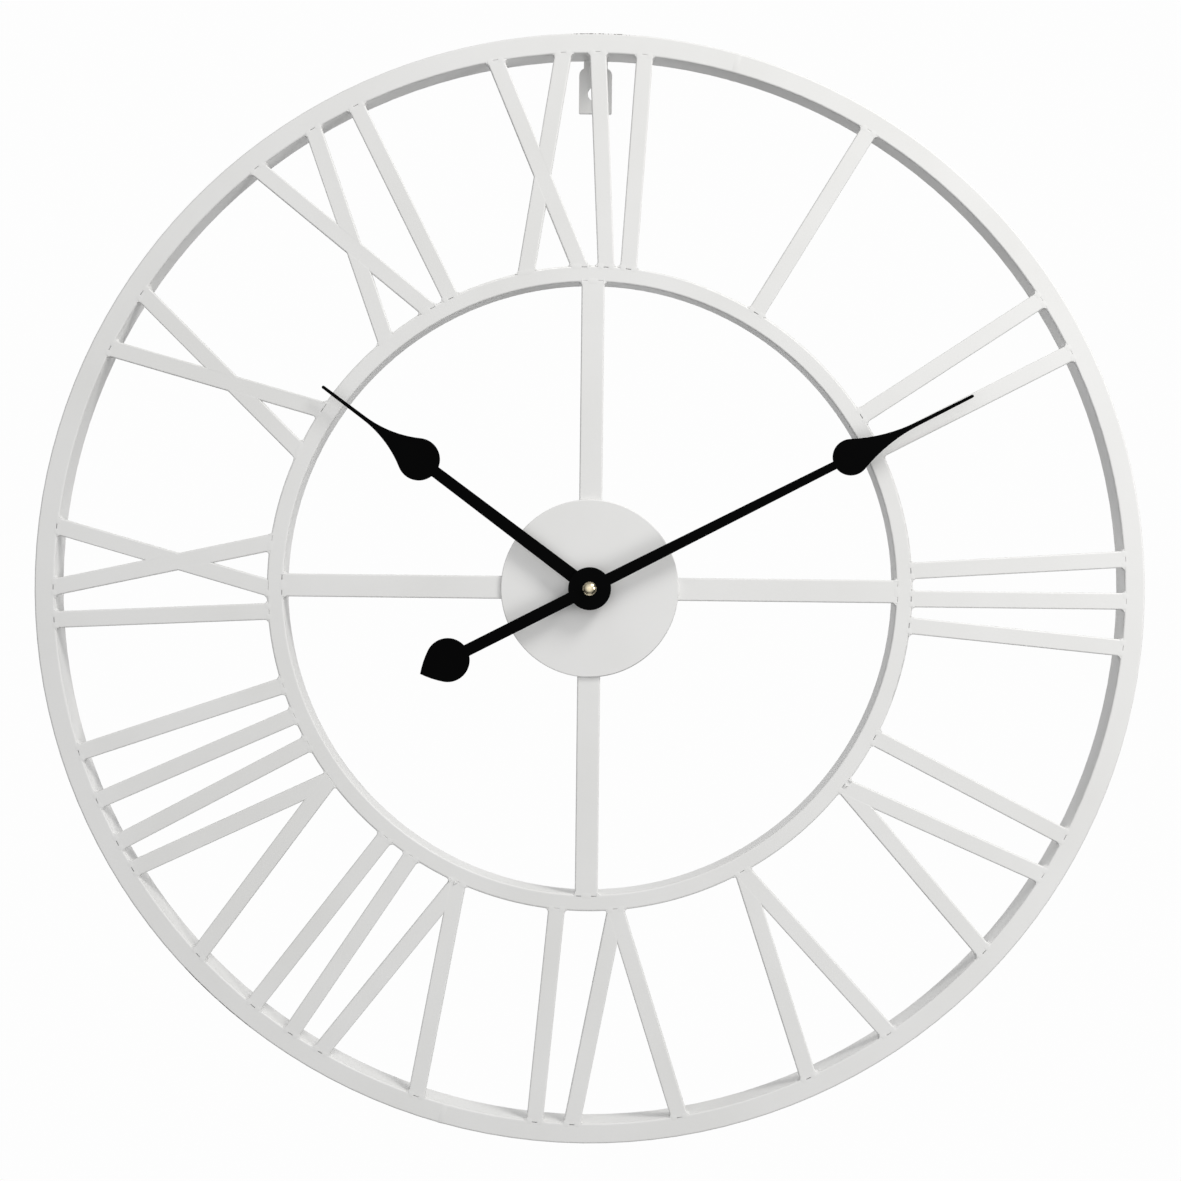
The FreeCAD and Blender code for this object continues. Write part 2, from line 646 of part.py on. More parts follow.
def cap_nut():
    """Domed brass nut, threaded blind over the tip of the minute arbor."""
    rim_front = ARBOR_SHOULDER - CAP_NUT_RIM
    rise = CAP_NUT_HEIGHT - CAP_NUT_RIM
    dome_radius = (CAP_NUT_RADIUS**2 + rise**2) / (2 * rise)
    centre = rim_front - rise + dome_radius
    rim = FreeCAD.Vector(CAP_NUT_RADIUS, rim_front, 0)
    lean = math.asin(CAP_NUT_RADIUS / dome_radius) / 2
    middle = FreeCAD.Vector(dome_radius * math.sin(lean), centre - dome_radius * math.cos(lean), 0)
    crown = FreeCAD.Vector(0, rim_front - rise, 0)
    back = FreeCAD.Vector(CAP_NUT_RADIUS, ARBOR_SHOULDER, 0)
    axis_back = FreeCAD.Vector(0, ARBOR_SHOULDER, 0)
    edges = [
        Part.Arc(crown, middle, rim).toShape(),
        Part.LineSegment(rim, back).toShape(),
        Part.LineSegment(back, axis_back).toShape(),
        Part.LineSegment(axis_back, crown).toShape(),
    ]
    dome = Part.Face(Part.Wire(edges)).revolve(FreeCAD.Vector(0, 0, 0), FreeCAD.Vector(0, 1, 0), 360)
    return dome.cut(rod(TIP_THREAD_RADIUS, ARBOR_SHOULDER - TIP_THREAD_LENGTH, ARBOR_SHOULDER))


def tooth_half_angle(radius, pitch_radius):
    """Half the angle that an involute tooth spans at a radius, in radians."""
    pressure = math.radians(PRESSURE_ANGLE)
    base_radius = pitch_radius * math.cos(pressure)
    here = math.acos(min(1.0, base_radius / radius))
    return math.tan(pressure) - pressure - (math.tan(here) - here)


def gear(teeth, module, front, back, place, phase):
    """Toothed wheel; phase is the angle of a tooth's middle, counted from +X towards +Z."""
    pitch_radius = module * teeth / 2
    root = pitch_radius - DEDENDUM * module
    tip = pitch_radius + ADDENDUM * module
    radii = (root, pitch_radius - FLANK_STEP * module, pitch_radius + FLANK_STEP * module, tip)
    pitch_half = TOOTH_SHARE * math.pi / teeth
    points = []
    for tooth in range(teeth):
        middle = phase + 360.0 * tooth / teeth
        spans = [math.degrees(pitch_half + tooth_half_angle(radius, pitch_radius)) for radius in radii]
        rising = [polar(radius, middle - span) for radius, span in zip(radii, spans)]
        falling = [polar(radius, middle + span) for radius, span in zip(radii, spans)]
        points.extend(rising + falling[::-1])
    return prism([(place[0] + x, place[1] + z) for x, z in points], front, back)


def meshing_phase(phase, teeth, angle, mate_teeth):
    """Phase of a mating wheel that stands at an angle from a wheel of the given phase."""
    return angle + 180.0 - (phase - angle) * teeth / mate_teeth - 180.0 / mate_teeth


def wheel_places():
    """Centres of the arbors across the dial."""
    intermediate = polar(INTERMEDIATE_DISTANCE, INTERMEDIATE_ANGLE)
    onward = polar(ROTOR_DISTANCE, ROTOR_ANGLE)
    return {
        "centre": (0.0, 0.0),
        "minute_wheel": polar(MOTION_DISTANCE, MINUTE_WHEEL_ANGLE),
        "third": polar(THIRD_DISTANCE, THIRD_ANGLE),
        "intermediate": intermediate,
        "rotor": (intermediate[0] + onward[0], intermediate[1] + onward[1]),
    }


def motion_work(places):
    """Minute arbor with its cannon pinion, minute wheel with the setting knob, and hour wheel."""
    place = places["minute_wheel"]
    cannon_module = 2 * MOTION_DISTANCE / (CANNON_TEETH + MINUTE_WHEEL_TEETH)
    wheel_phase = meshing_phase(0.0, CANNON_TEETH, MINUTE_WHEEL_ANGLE, MINUTE_WHEEL_TEETH)
    pinion_phase = MINUTE_WHEEL_ANGLE
    hour_phase = meshing_phase(
        pinion_phase, MINUTE_PINION_TEETH, MINUTE_WHEEL_ANGLE + 180.0, HOUR_WHEEL_TEETH
    )
    arbor = stepped(
        (
            (TIP_THREAD_RADIUS, ARBOR_SHOULDER - TIP_THREAD_LENGTH, ARBOR_SHOULDER),
            (MINUTE_ARBOR_RADIUS, ARBOR_SHOULDER, BRIDGE_BACK + SEAT_GAP),
            (COLLAR_RADIUS, COLLAR_FRONT, COLLAR_FRONT + SEAT_GAP),
        )
    )
    cannon_back = CANNON_FRONT + CANNON_LENGTH
    cannon = gear(CANNON_TEETH, cannon_module, CANNON_FRONT, cannon_back, places["centre"], 0.0)
    rear_bore = rod(ARBOR_RADIUS + RUNNING_GAP, CENTRE_WHEEL_FRONT - SEAT_GAP, BRIDGE_BACK + SEAT_GAP)
    minute_wheel_back = CANNON_FRONT + WHEEL_THICKNESS
    minute_wheel = gear(
        MINUTE_WHEEL_TEETH, cannon_module, CANNON_FRONT, minute_wheel_back, place, wheel_phase
    )
    pinion = gear(
        MINUTE_PINION_TEETH,
        MOTION_MODULE,
        HOUR_WHEEL_FRONT - PROUD,
        CANNON_FRONT,
        place,
        pinion_phase,
    )
    knob_front = CASE_BACK + PROUD
    stem = stepped(
        (
            (MINUTE_PIVOT_RADIUS, CASE_INSIDE - MINUTE_PIVOT_SINK, HOUR_WHEEL_FRONT - PROUD),
            (JOURNAL_RADIUS, minute_wheel_back, knob_front + KNOB_THICKNESS / 2),
        ),
        *place,
    )
    hour_wheel = gear(
        HOUR_WHEEL_TEETH,
        MOTION_MODULE,
        HOUR_WHEEL_FRONT,
        HOUR_WHEEL_FRONT + WHEEL_THICKNESS,
        places["centre"],
        hour_phase,
    )
    tube_bore = rod(MINUTE_ARBOR_RADIUS + LOOSE_GAP, HOUR_TUBE_END, HOUR_WHEEL_FRONT + WHEEL_THICKNESS)
    hour_tube = rod(HOUR_TUBE_RADIUS, HOUR_TUBE_END, HOUR_WHEEL_FRONT)
    return {
        "minute_arbor": arbor.fuse(cannon).cut(rear_bore),
        "minute_wheel": minute_wheel.fuse(pinion).fuse(stem),
        "setting_knob": setting_knob(place, knob_front),
        "hour_wheel": hour_wheel.fuse(hour_tube).cut(tube_bore),
    }


def setting_knob(place, front):
    """Finger knob on the minute wheel's stem, with a grooved rim."""
    back = front + KNOB_THICKNESS
    rim = []
    for step in range(2 * KNOB_TEETH):
        radius = KNOB_RADIUS if step % 2 == 0 else KNOB_RADIUS - KNOB_GROOVE
        for edge in (-KNOB_TOOTH_SHARE, KNOB_TOOTH_SHARE):
            rim.append(polar(radius, (step + edge) * 180.0 / KNOB_TEETH))
    knob = prism([(place[0] + x, place[1] + z) for x, z in rim], front, back)
    return knob.cut(rod(JOURNAL_RADIUS, front, front + KNOB_THICKNESS / 2, *place))


def going_train(places):
    """Rotor, intermediate, seconds, third and centre wheels, each in mesh with the next."""
    seconds_phase = meshing_phase(0.0, INTERMEDIATE_PINION_TEETH, INTERMEDIATE_ANGLE + 180.0, SECONDS_TEETH)
    third_phase = meshing_phase(0.0, SECONDS_PINION_TEETH, THIRD_ANGLE, THIRD_TEETH)
    centre_phase = meshing_phase(0.0, THIRD_PINION_TEETH, THIRD_ANGLE + 180.0, CENTRE_TEETH)
    rotor_phase = meshing_phase(0.0, INTERMEDIATE_TEETH, ROTOR_ANGLE, ROTOR_TEETH)
    second_module = 2 * THIRD_DISTANCE / (SECONDS_PINION_TEETH + THIRD_TEETH)
    third_module = 2 * THIRD_DISTANCE / (THIRD_PINION_TEETH + CENTRE_TEETH)

    centre_back = CENTRE_WHEEL_FRONT + WHEEL_THICKNESS
    centre_wheel = gear(
        CENTRE_TEETH, third_module, CENTRE_WHEEL_FRONT, centre_back, places["centre"], centre_phase
    )
    centre_bore = rod(MINUTE_ARBOR_RADIUS + RUNNING_GAP, CENTRE_WHEEL_FRONT, centre_back)

    third = places["third"]
    third_wheel = gear(
        THIRD_TEETH,
        second_module,
        THIRD_WHEEL_FRONT,
        THIRD_WHEEL_FRONT + WHEEL_THICKNESS,
        third,
        third_phase,
    )
    third_pinion = gear(
        THIRD_PINION_TEETH, third_module, CENTRE_WHEEL_FRONT - PROUD, centre_back + PROUD, third, 0.0
    )
    third_arbor = stepped(
        (
            (ARBOR_RADIUS, centre_back, BRIDGE_FRONT),
            (JOURNAL_RADIUS, BRIDGE_FRONT - PROUD, BRIDGE_BACK + PROUD),
            (THIRD_ARBOR_RADIUS, BRIDGE_BACK, THIRD_WHEEL_FRONT),
            (PIVOT_RADIUS, THIRD_WHEEL_FRONT, PIVOT_END),
        ),
        *third,
    )

    seconds_wheel = gear(
        SECONDS_TEETH,
        TRAIN_MODULE,
        SECONDS_WHEEL_FRONT,
        SECONDS_WHEEL_FRONT + THIN_WHEEL,
        places["centre"],
        seconds_phase,
    )
    seconds_pinion = gear(
        SECONDS_PINION_TEETH,
        second_module,
        THIRD_WHEEL_FRONT - PROUD,
        SECONDS_WHEEL_FRONT,
        places["centre"],
        0.0,
    )
    seconds_arbor = stepped(
        (
            (ARBOR_RADIUS, CENTRE_WHEEL_FRONT, SECONDS_WHEEL_FRONT + THIN_WHEEL),
            (PIVOT_RADIUS, SECONDS_WHEEL_FRONT + THIN_WHEEL, PIVOT_END),
        )
    )

    intermediate = places["intermediate"]
    intermediate_wheel = gear(
        INTERMEDIATE_TEETH,
        TRAIN_MODULE,
        INTERMEDIATE_WHEEL_FRONT,
        INTERMEDIATE_WHEEL_FRONT + THIN_WHEEL,
        intermediate,
        0.0,
    )
    intermediate_pinion = gear(
        INTERMEDIATE_PINION_TEETH,
        TRAIN_MODULE,
        SECONDS_WHEEL_FRONT - PROUD,
        INTERMEDIATE_WHEEL_FRONT,
        intermediate,
        0.0,
    )
    intermediate_arbor = stepped(
        (
            (PIVOT_RADIUS, BRIDGE_BACK - PIVOT_SINK, BRIDGE_BACK + PROUD),
            (ARBOR_RADIUS, BRIDGE_BACK + PROUD, INTERMEDIATE_WHEEL_FRONT),
            (PIVOT_RADIUS, INTERMEDIATE_WHEEL_FRONT, PIVOT_END),
        ),
        *intermediate,
    )

    rotor = places["rotor"]
    magnet_front = STATOR_FRONT + STATOR_THICKNESS / 2 - ROTOR_LENGTH / 2
    magnet_back = magnet_front + ROTOR_LENGTH
    rotor_pinion = gear(
        ROTOR_TEETH,
        TRAIN_MODULE,
        INTERMEDIATE_WHEEL_FRONT - PROUD,
        INTERMEDIATE_WHEEL_FRONT + WHEEL_THICKNESS,
        rotor,
        rotor_phase,
    )
    rotor_arbor = stepped(
        (
            (PIVOT_RADIUS, BRIDGE_BACK - PIVOT_SINK, magnet_back),
            (ARBOR_RADIUS, magnet_back, INTERMEDIATE_WHEEL_FRONT),
            (PIVOT_RADIUS, INTERMEDIATE_WHEEL_FRONT, PIVOT_END),
        ),
        *rotor,
    )
    magnet = rod(ROTOR_RADIUS, magnet_front, magnet_back, *rotor)
    magnet_bore = rod(PIVOT_RADIUS, magnet_front, magnet_back, *rotor)
    return {
        "centre_wheel": centre_wheel.cut(centre_bore),
        "third_wheel": third_wheel.fuse(third_pinion).fuse(third_arbor),
        "seconds_wheel": seconds_wheel.fuse(seconds_pinion).fuse(seconds_arbor),
        "intermediate_wheel": intermediate_wheel.fuse(intermediate_pinion).fuse(intermediate_arbor),
        "rotor_pinion": rotor_pinion.fuse(rotor_arbor),
        "rotor_magnet": magnet.cut(magnet_bore),
    }


def bridge_posts():
    """Places of the four posts that carry the train bridge."""
    return (
        (BRIDGE_LEFT + POST_INSET, BRIDGE_TOP - POST_INSET),
        (BRIDGE_RIGHT - POST_INSET, BRIDGE_TOP - POST_INSET),
        (BRIDGE_RIGHT - POST_INSET, BRIDGE_BOTTOM + POST_INSET),
        (BRIDGE_LEFT + POST_INSET, BRIDGE_BOTTOM + POST_RADIUS),
    )


def movement_case(places):
    """Front shell: dial wall, rim, battery bay, and the posts that carry bridge and board."""
    shell = rounded_plate(-CASE_HALF, CASE_HALF, CASE_BOTTOM, CASE_TOP, CASE_CORNER, CASE_FRONT, CASE_BACK)
    chamber = block(-INSIDE_HALF, INSIDE_HALF, CASE_INSIDE, CASE_BACK, CHAMBER_FLOOR, INSIDE_TOP)
    bay = block(-INSIDE_HALF, INSIDE_HALF, BAY_FLOOR, CASE_BACK, BAY_BOTTOM, BAY_TOP)
    cover_seat = block(-CASE_HALF, CASE_HALF, COVER_INSIDE, CASE_BACK, BAY_TOP, CASE_TOP)
    shell = shell.cut(chamber).cut(bay).cut(cover_seat)
    strip_y0 = BATTERY_Y - CONTACT_WIDTH / 2 - CONTACT_GAP
    strip_y1 = BATTERY_Y + CONTACT_WIDTH / 2 + CONTACT_GAP
    for side in (-1.0, 1.0):
        edges = sorted((side * INSIDE_HALF, side * (INSIDE_HALF - CONTACT_SHEET - CONTACT_GAP)))
        shell = shell.cut(block(*edges, strip_y0, strip_y1, BAY_TOP, CHAMBER_FLOOR))
    for x, z in bridge_posts():
        shell = shell.fuse(rod(POST_RADIUS, CASE_INSIDE, BRIDGE_FRONT, x, z))
        shell = shell.fuse(rod(PEG_RADIUS, BRIDGE_FRONT, BRIDGE_BACK, x, z))
        shell = shell.fuse(rod(POST_RADIUS, BRIDGE_BACK, STATOR_FRONT, x, z))
    for z in (BOARD_BOTTOM + BOARD_POST_RISE, BOARD_TOP - BOARD_POST_RISE):
        shell = shell.fuse(rod(POST_RADIUS, CASE_INSIDE, BOARD_FRONT, BOARD_RIGHT - BOARD_POST_INSET, z))
    minute_pivot = rod(
        MINUTE_PIVOT_RADIUS + RUNNING_GAP,
        CASE_INSIDE - MINUTE_PIVOT_SINK - END_PLAY,
        CASE_INSIDE,
        *places["minute_wheel"],
    )
    return shell.cut(minute_pivot).cut(rod(BUSHING_RADIUS, CASE_FRONT, CASE_INSIDE))


def movement_cover(places):
    """Rear lid over the wheels, with pivot bosses, a locating lip and the knob stem's hole."""
    lid = rounded_plate(-CASE_HALF, CASE_HALF, CASE_BOTTOM, CASE_TOP, CASE_CORNER, COVER_INSIDE, CASE_BACK)
    lid = lid.common(block(-CASE_HALF, CASE_HALF, COVER_INSIDE, CASE_BACK, BAY_TOP, CASE_TOP))
    lip_half = INSIDE_HALF - RUNNING_GAP
    lip_top = INSIDE_TOP - RUNNING_GAP
    lip_bottom = CHAMBER_FLOOR + RUNNING_GAP
    lip_front = COVER_INSIDE - COVER_LIP
    lip = block(-lip_half, lip_half, lip_front, COVER_INSIDE, lip_bottom, lip_top)
    hollow = block(
        -lip_half + COVER_LIP,
        lip_half - COVER_LIP,
        lip_front,
        COVER_INSIDE,
        lip_bottom + COVER_LIP,
        lip_top - COVER_LIP,
    )
    lid = lid.fuse(lip.cut(hollow))
    for name in ("centre", "third", "intermediate", "rotor"):
        lid = lid.fuse(rod(BOSS_RADIUS, BOSS_FRONT, COVER_INSIDE, *places[name]))
    for name in ("centre", "third", "intermediate", "rotor"):
        lid = lid.cut(rod(PIVOT_RADIUS + RUNNING_GAP, BOSS_FRONT, COVER_INSIDE, *places[name]))
    return lid.cut(rod(JOURNAL_RADIUS + RUNNING_GAP, COVER_INSIDE, CASE_BACK, *places["minute_wheel"]))


def train_bridge(places):
    """Plate that carries the inner ends of the arbors, staked on the case's posts."""
    plate = rounded_plate(
        BRIDGE_LEFT, BRIDGE_RIGHT, BRIDGE_BOTTOM, BRIDGE_TOP, BRIDGE_CORNER, BRIDGE_FRONT, BRIDGE_BACK
    )
    bores = (
        (MINUTE_ARBOR_RADIUS, "centre", BRIDGE_FRONT),
        (JOURNAL_RADIUS, "third", BRIDGE_FRONT),
        (JOURNAL_RADIUS, "minute_wheel", BRIDGE_FRONT),
        (PIVOT_RADIUS, "intermediate", BRIDGE_BACK - PIVOT_SINK - END_PLAY),
        (PIVOT_RADIUS, "rotor", BRIDGE_BACK - PIVOT_SINK - END_PLAY),
    )
    for radius, name, front in bores:
        plate = plate.cut(rod(radius + RUNNING_GAP, front, BRIDGE_BACK, *places[name]))
    for x, z in bridge_posts():
        plate = plate.cut(rod(PEG_RADIUS, BRIDGE_FRONT, BRIDGE_BACK, x, z))
    return plate


def mounting_stack():
    """Threaded bushing, rubber gasket, washer and nut that clamp the movement to the plate."""
    bushing = stepped(
        (
            (BUSHING_RADIUS, BUSHING_END, CASE_INSIDE),
            (BUSHING_FLANGE_RADIUS, CASE_FRONT - BUSHING_FLANGE_THICKNESS, CASE_FRONT),
        )
    )
    bushing = bushing.cut(rod(HOUR_TUBE_RADIUS + LOOSE_GAP, BUSHING_END, CASE_INSIDE))
    gasket = rod(GASKET_RADIUS, FRONT, CASE_FRONT).cut(
        rod(BUSHING_FLANGE_RADIUS + SEAT_GAP, FRONT, CASE_FRONT)
    )
    washer = rod(WASHER_RADIUS, NUT_BACK, DISC_FRONT).cut(
        rod(BUSHING_RADIUS + CONTACT_GAP, NUT_BACK, DISC_FRONT)
    )
    corner = NUT_ACROSS_FLATS / math.sqrt(3.0)
    nut_front = NUT_BACK - NUT_HEIGHT
    nut = prism([polar(corner, 60.0 * side) for side in range(6)], nut_front, NUT_BACK)
    chamfer = (corner - NUT_ACROSS_FLATS / 2) * math.tan(math.radians(30.0))
    envelope = turned(
        (
            (0.0, nut_front),
            (NUT_ACROSS_FLATS / 2, nut_front),
            (corner, nut_front + chamfer),
            (corner, NUT_BACK),
            (0.0, NUT_BACK),
        )
    )
    nut = nut.common(envelope).cut(rod(BUSHING_RADIUS, nut_front, NUT_BACK))
    return {
        "threaded_bushing": bushing,
        "case_gasket": gasket,
        "dial_washer": washer,
        "dial_nut": nut,
    }


def along_x(radius, x0, x1, y, z):
    """Round bar across the movement."""
    return Part.makeCylinder(radius, x1 - x0, FreeCAD.Vector(x0, y, z), FreeCAD.Vector(1, 0, 0))


def battery_pieces():
    """Cell and the two sheet contacts that lead its ends to the circuit board."""
    nub_end = INSIDE_HALF - CONTACT_SHEET - CONTACT_GAP
    can_end = nub_end - BATTERY_NUB_LENGTH
    can_start = nub_end - BATTERY_LENGTH
    can = along_x(BATTERY_RADIUS, can_start, can_end, BATTERY_Y, BATTERY_Z)
    can = can.makeFillet(BATTERY_GAP, can.Edges)
    nub = along_x(BATTERY_NUB_RADIUS, can_end, nub_end, BATTERY_Y, BATTERY_Z)
    strip_y0 = BATTERY_Y - CONTACT_WIDTH / 2
    strip_y1 = BATTERY_Y + CONTACT_WIDTH / 2
    foot = BATTERY_Z - BATTERY_RADIUS / 2
    right = block(
        INSIDE_HALF - CONTACT_SHEET, INSIDE_HALF, strip_y0, strip_y1, foot, BOARD_BOTTOM + CONTACT_LAP
    )
    left = block(
        -INSIDE_HALF, -INSIDE_HALF + CONTACT_SHEET, strip_y0, strip_y1, foot, CHAMBER_FLOOR + CONTACT_SHEET
    )
    lead = block(
        -INSIDE_HALF,
        BOARD_LEFT + CONTACT_LAP,
        strip_y0,
        strip_y1,
        CHAMBER_FLOOR,
        CHAMBER_FLOOR + CONTACT_SHEET,
    )
    bow = contact_bow(-INSIDE_HALF + CONTACT_SHEET, can_start - CONTACT_GAP, strip_y0, strip_y1)
    return {
        "battery": can.fuse(nub),
        "contact_positive": right,
        "contact_negative": left.fuse(lead).fuse(bow),
    }


def contact_bow(wall_x, crest_x, y0, y1):
    """Bowed leaf between a contact's strip and the cell, concentric inside and out."""
    half_height = BATTERY_RADIUS / 2
    rise = crest_x - wall_x
    radius = (half_height**2 + rise**2) / (2 * rise)
    centre_x = crest_x - radius
    leaf = rod(radius, y0, y1, centre_x, BATTERY_Z)
    leaf = leaf.cut(rod(radius - CONTACT_SHEET, y0, y1, centre_x, BATTERY_Z))
    keep = block(wall_x, crest_x, y0, y1, BATTERY_Z - half_height, BATTERY_Z + half_height)
    return leaf.common(keep)


def coil_pieces(places):
    """Bobbin, winding, soft-iron core and the stator plate round the rotor."""
    core_front = STATOR_FRONT - CORE_THICKNESS
    core_y = STATOR_FRONT - CORE_THICKNESS / 2
    half = COIL_LENGTH / 2
    leg = half + BOBBIN_FLANGE + CORE_LEG_GAP
    core_end = leg + CORE_WIDTH
    core = block(
        COIL_X - core_end,
        COIL_X + core_end,
        core_front,
        STATOR_FRONT,
        COIL_Z - CORE_WIDTH / 2,
        COIL_Z + CORE_WIDTH / 2,
    )
    sleeve_radius = CORE_WIDTH / 2 + BOBBIN_WALL
    bobbin = along_x(sleeve_radius, COIL_X - half, COIL_X + half, core_y, COIL_Z)
    for start in (COIL_X - half - BOBBIN_FLANGE, COIL_X + half):
        bobbin = bobbin.fuse(
            along_x(BOBBIN_FLANGE_RADIUS, start, start + BOBBIN_FLANGE, core_y, COIL_Z)
        )
    winding = along_x(COIL_RADIUS, COIL_X - half, COIL_X + half, core_y, COIL_Z)
    winding = winding.cut(along_x(sleeve_radius, COIL_X - half, COIL_X + half, core_y, COIL_Z))
    stator_back = STATOR_FRONT + STATOR_THICKNESS
    base = block(
        COIL_X - core_end,
        COIL_X + core_end,
        STATOR_FRONT,
        stator_back,
        places["rotor"][1] - ROTOR_RADIUS - STATOR_RIM,
        BRIDGE_TOP,
    )
    for side in (-1.0, 1.0):
        edges = sorted((COIL_X + side * leg, COIL_X + side * core_end))
        base = base.fuse(
            block(*edges, STATOR_FRONT, stator_back, BRIDGE_TOP, COIL_Z + CORE_WIDTH / 2)
        )
    rotor_hole = rod(ROTOR_RADIUS + STATOR_GAP, STATOR_FRONT, stator_back, *places["rotor"])
    return {
        "coil_bobbin": bobbin.cut(core),
        "coil_winding": winding,
        "coil_core": core,
        "stator": base.removeSplitter().cut(rotor_hole),
    }


def board_pieces():
    """Circuit board with the clock chip under its resin drop and the quartz crystal."""
    back = BOARD_FRONT + BOARD_THICKNESS
    board = block(BOARD_LEFT, BOARD_RIGHT, BOARD_FRONT, back, BOARD_BOTTOM, BOARD_TOP)
    board = board.cut(
        block(
            BOARD_LEFT, BOARD_LEFT + BOARD_NOTCH, BOARD_FRONT, back, BOARD_BOTTOM, BOARD_BOTTOM + BOARD_NOTCH
        )
    )
    chip_x = (BOARD_LEFT + BOARD_RIGHT) / 2
    drop = [(0.0, back)]
    for step in range(CHIP_STEPS):
        outward, upward = polar(1.0, 90.0 * step / CHIP_STEPS)
        drop.append((CHIP_RADIUS * outward, back + CHIP_HEIGHT * upward))
    drop.append((0.0, back + CHIP_HEIGHT))
    chip = turned(drop, chip_x, BOARD_TOP - CHIP_INSET)
    crystal = Part.makeCylinder(
        CRYSTAL_RADIUS,
        CRYSTAL_LENGTH,
        FreeCAD.Vector(chip_x, back + CRYSTAL_RADIUS, BOARD_BOTTOM + CRYSTAL_INSET),
        FreeCAD.Vector(0, 0, 1),
    )
    return {"circuit_board": board, "clock_chip": chip, "quartz_crystal": crystal}


def movement_pieces():
    """Everything of the quartz movement."""
    places = wheel_places()
    pieces = {
        "movement_case": movement_case(places),
        "movement_cover": movement_cover(places),
        "train_bridge": train_bridge(places),
    }
    pieces.update(mounting_stack())
    pieces.update(motion_work(places))
    pieces.update(going_train(places))
    pieces.update(battery_pieces())
    pieces.update(coil_pieces(places))
    pieces.update(board_pieces())
    return pieces


def main():
    """Build every piece, move it so that the hanging hole is the origin, and write it."""
    os.makedirs("parts", exist_ok=True)
    pieces = frame_pieces()
    pieces.update(hand_pieces())
    pieces.update(movement_pieces())
    for name, shape in pieces.items():
        placed = shape.copy()
        placed.translate(FreeCAD.Vector(0, 0, -HANG_HEIGHT))
        placed.exportStep(os.path.join("parts", name + ".step"))
        print(name, len(placed.Solids), round(placed.Volume, 2), placed.isValid())


main()
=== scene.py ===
import logging
import math
from dataclasses import dataclass
from enum import Enum

import bmesh
import bpy
import numpy as np
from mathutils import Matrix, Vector


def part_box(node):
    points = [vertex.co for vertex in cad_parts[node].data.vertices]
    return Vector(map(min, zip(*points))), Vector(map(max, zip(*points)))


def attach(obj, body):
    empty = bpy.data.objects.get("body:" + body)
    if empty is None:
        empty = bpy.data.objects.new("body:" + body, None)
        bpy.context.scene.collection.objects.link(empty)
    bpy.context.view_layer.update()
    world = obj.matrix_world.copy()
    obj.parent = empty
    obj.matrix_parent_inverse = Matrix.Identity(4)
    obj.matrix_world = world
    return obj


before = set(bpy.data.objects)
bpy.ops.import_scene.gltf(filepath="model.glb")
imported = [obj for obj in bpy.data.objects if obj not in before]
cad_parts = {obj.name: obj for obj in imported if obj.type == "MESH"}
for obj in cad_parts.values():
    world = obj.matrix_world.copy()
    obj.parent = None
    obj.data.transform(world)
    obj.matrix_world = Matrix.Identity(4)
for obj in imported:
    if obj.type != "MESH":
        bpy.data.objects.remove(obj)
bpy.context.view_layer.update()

# Openwork wall clock: powder-coated steel rings with welded Roman numerals, black spade hands,
# a brass cap nut, and a quartz movement behind the centre plate. Lengths are metres.

LOG = logging.getLogger("wall_clock")
MM = 0.001
SHARP_ANGLE = math.radians(50.0)
OUTER_RING = ("outer_ring_right", "outer_ring_left")
Colour = tuple[float, float, float, float]
Socket = bpy.types.NodeSocket


class Body(Enum):
    """Bodies that new pieces ride on."""

    FRAME = "clock_frame"
    KNOB = "setting_set"


class Slot(Enum):
    """Names of material slots of the record, passed with new pieces."""

    COAT = "white_powder_coat"
    CASE = "black_case_plastic"
    BRASS = "turned_brass"


# ---------------------------------------------------------------- node building


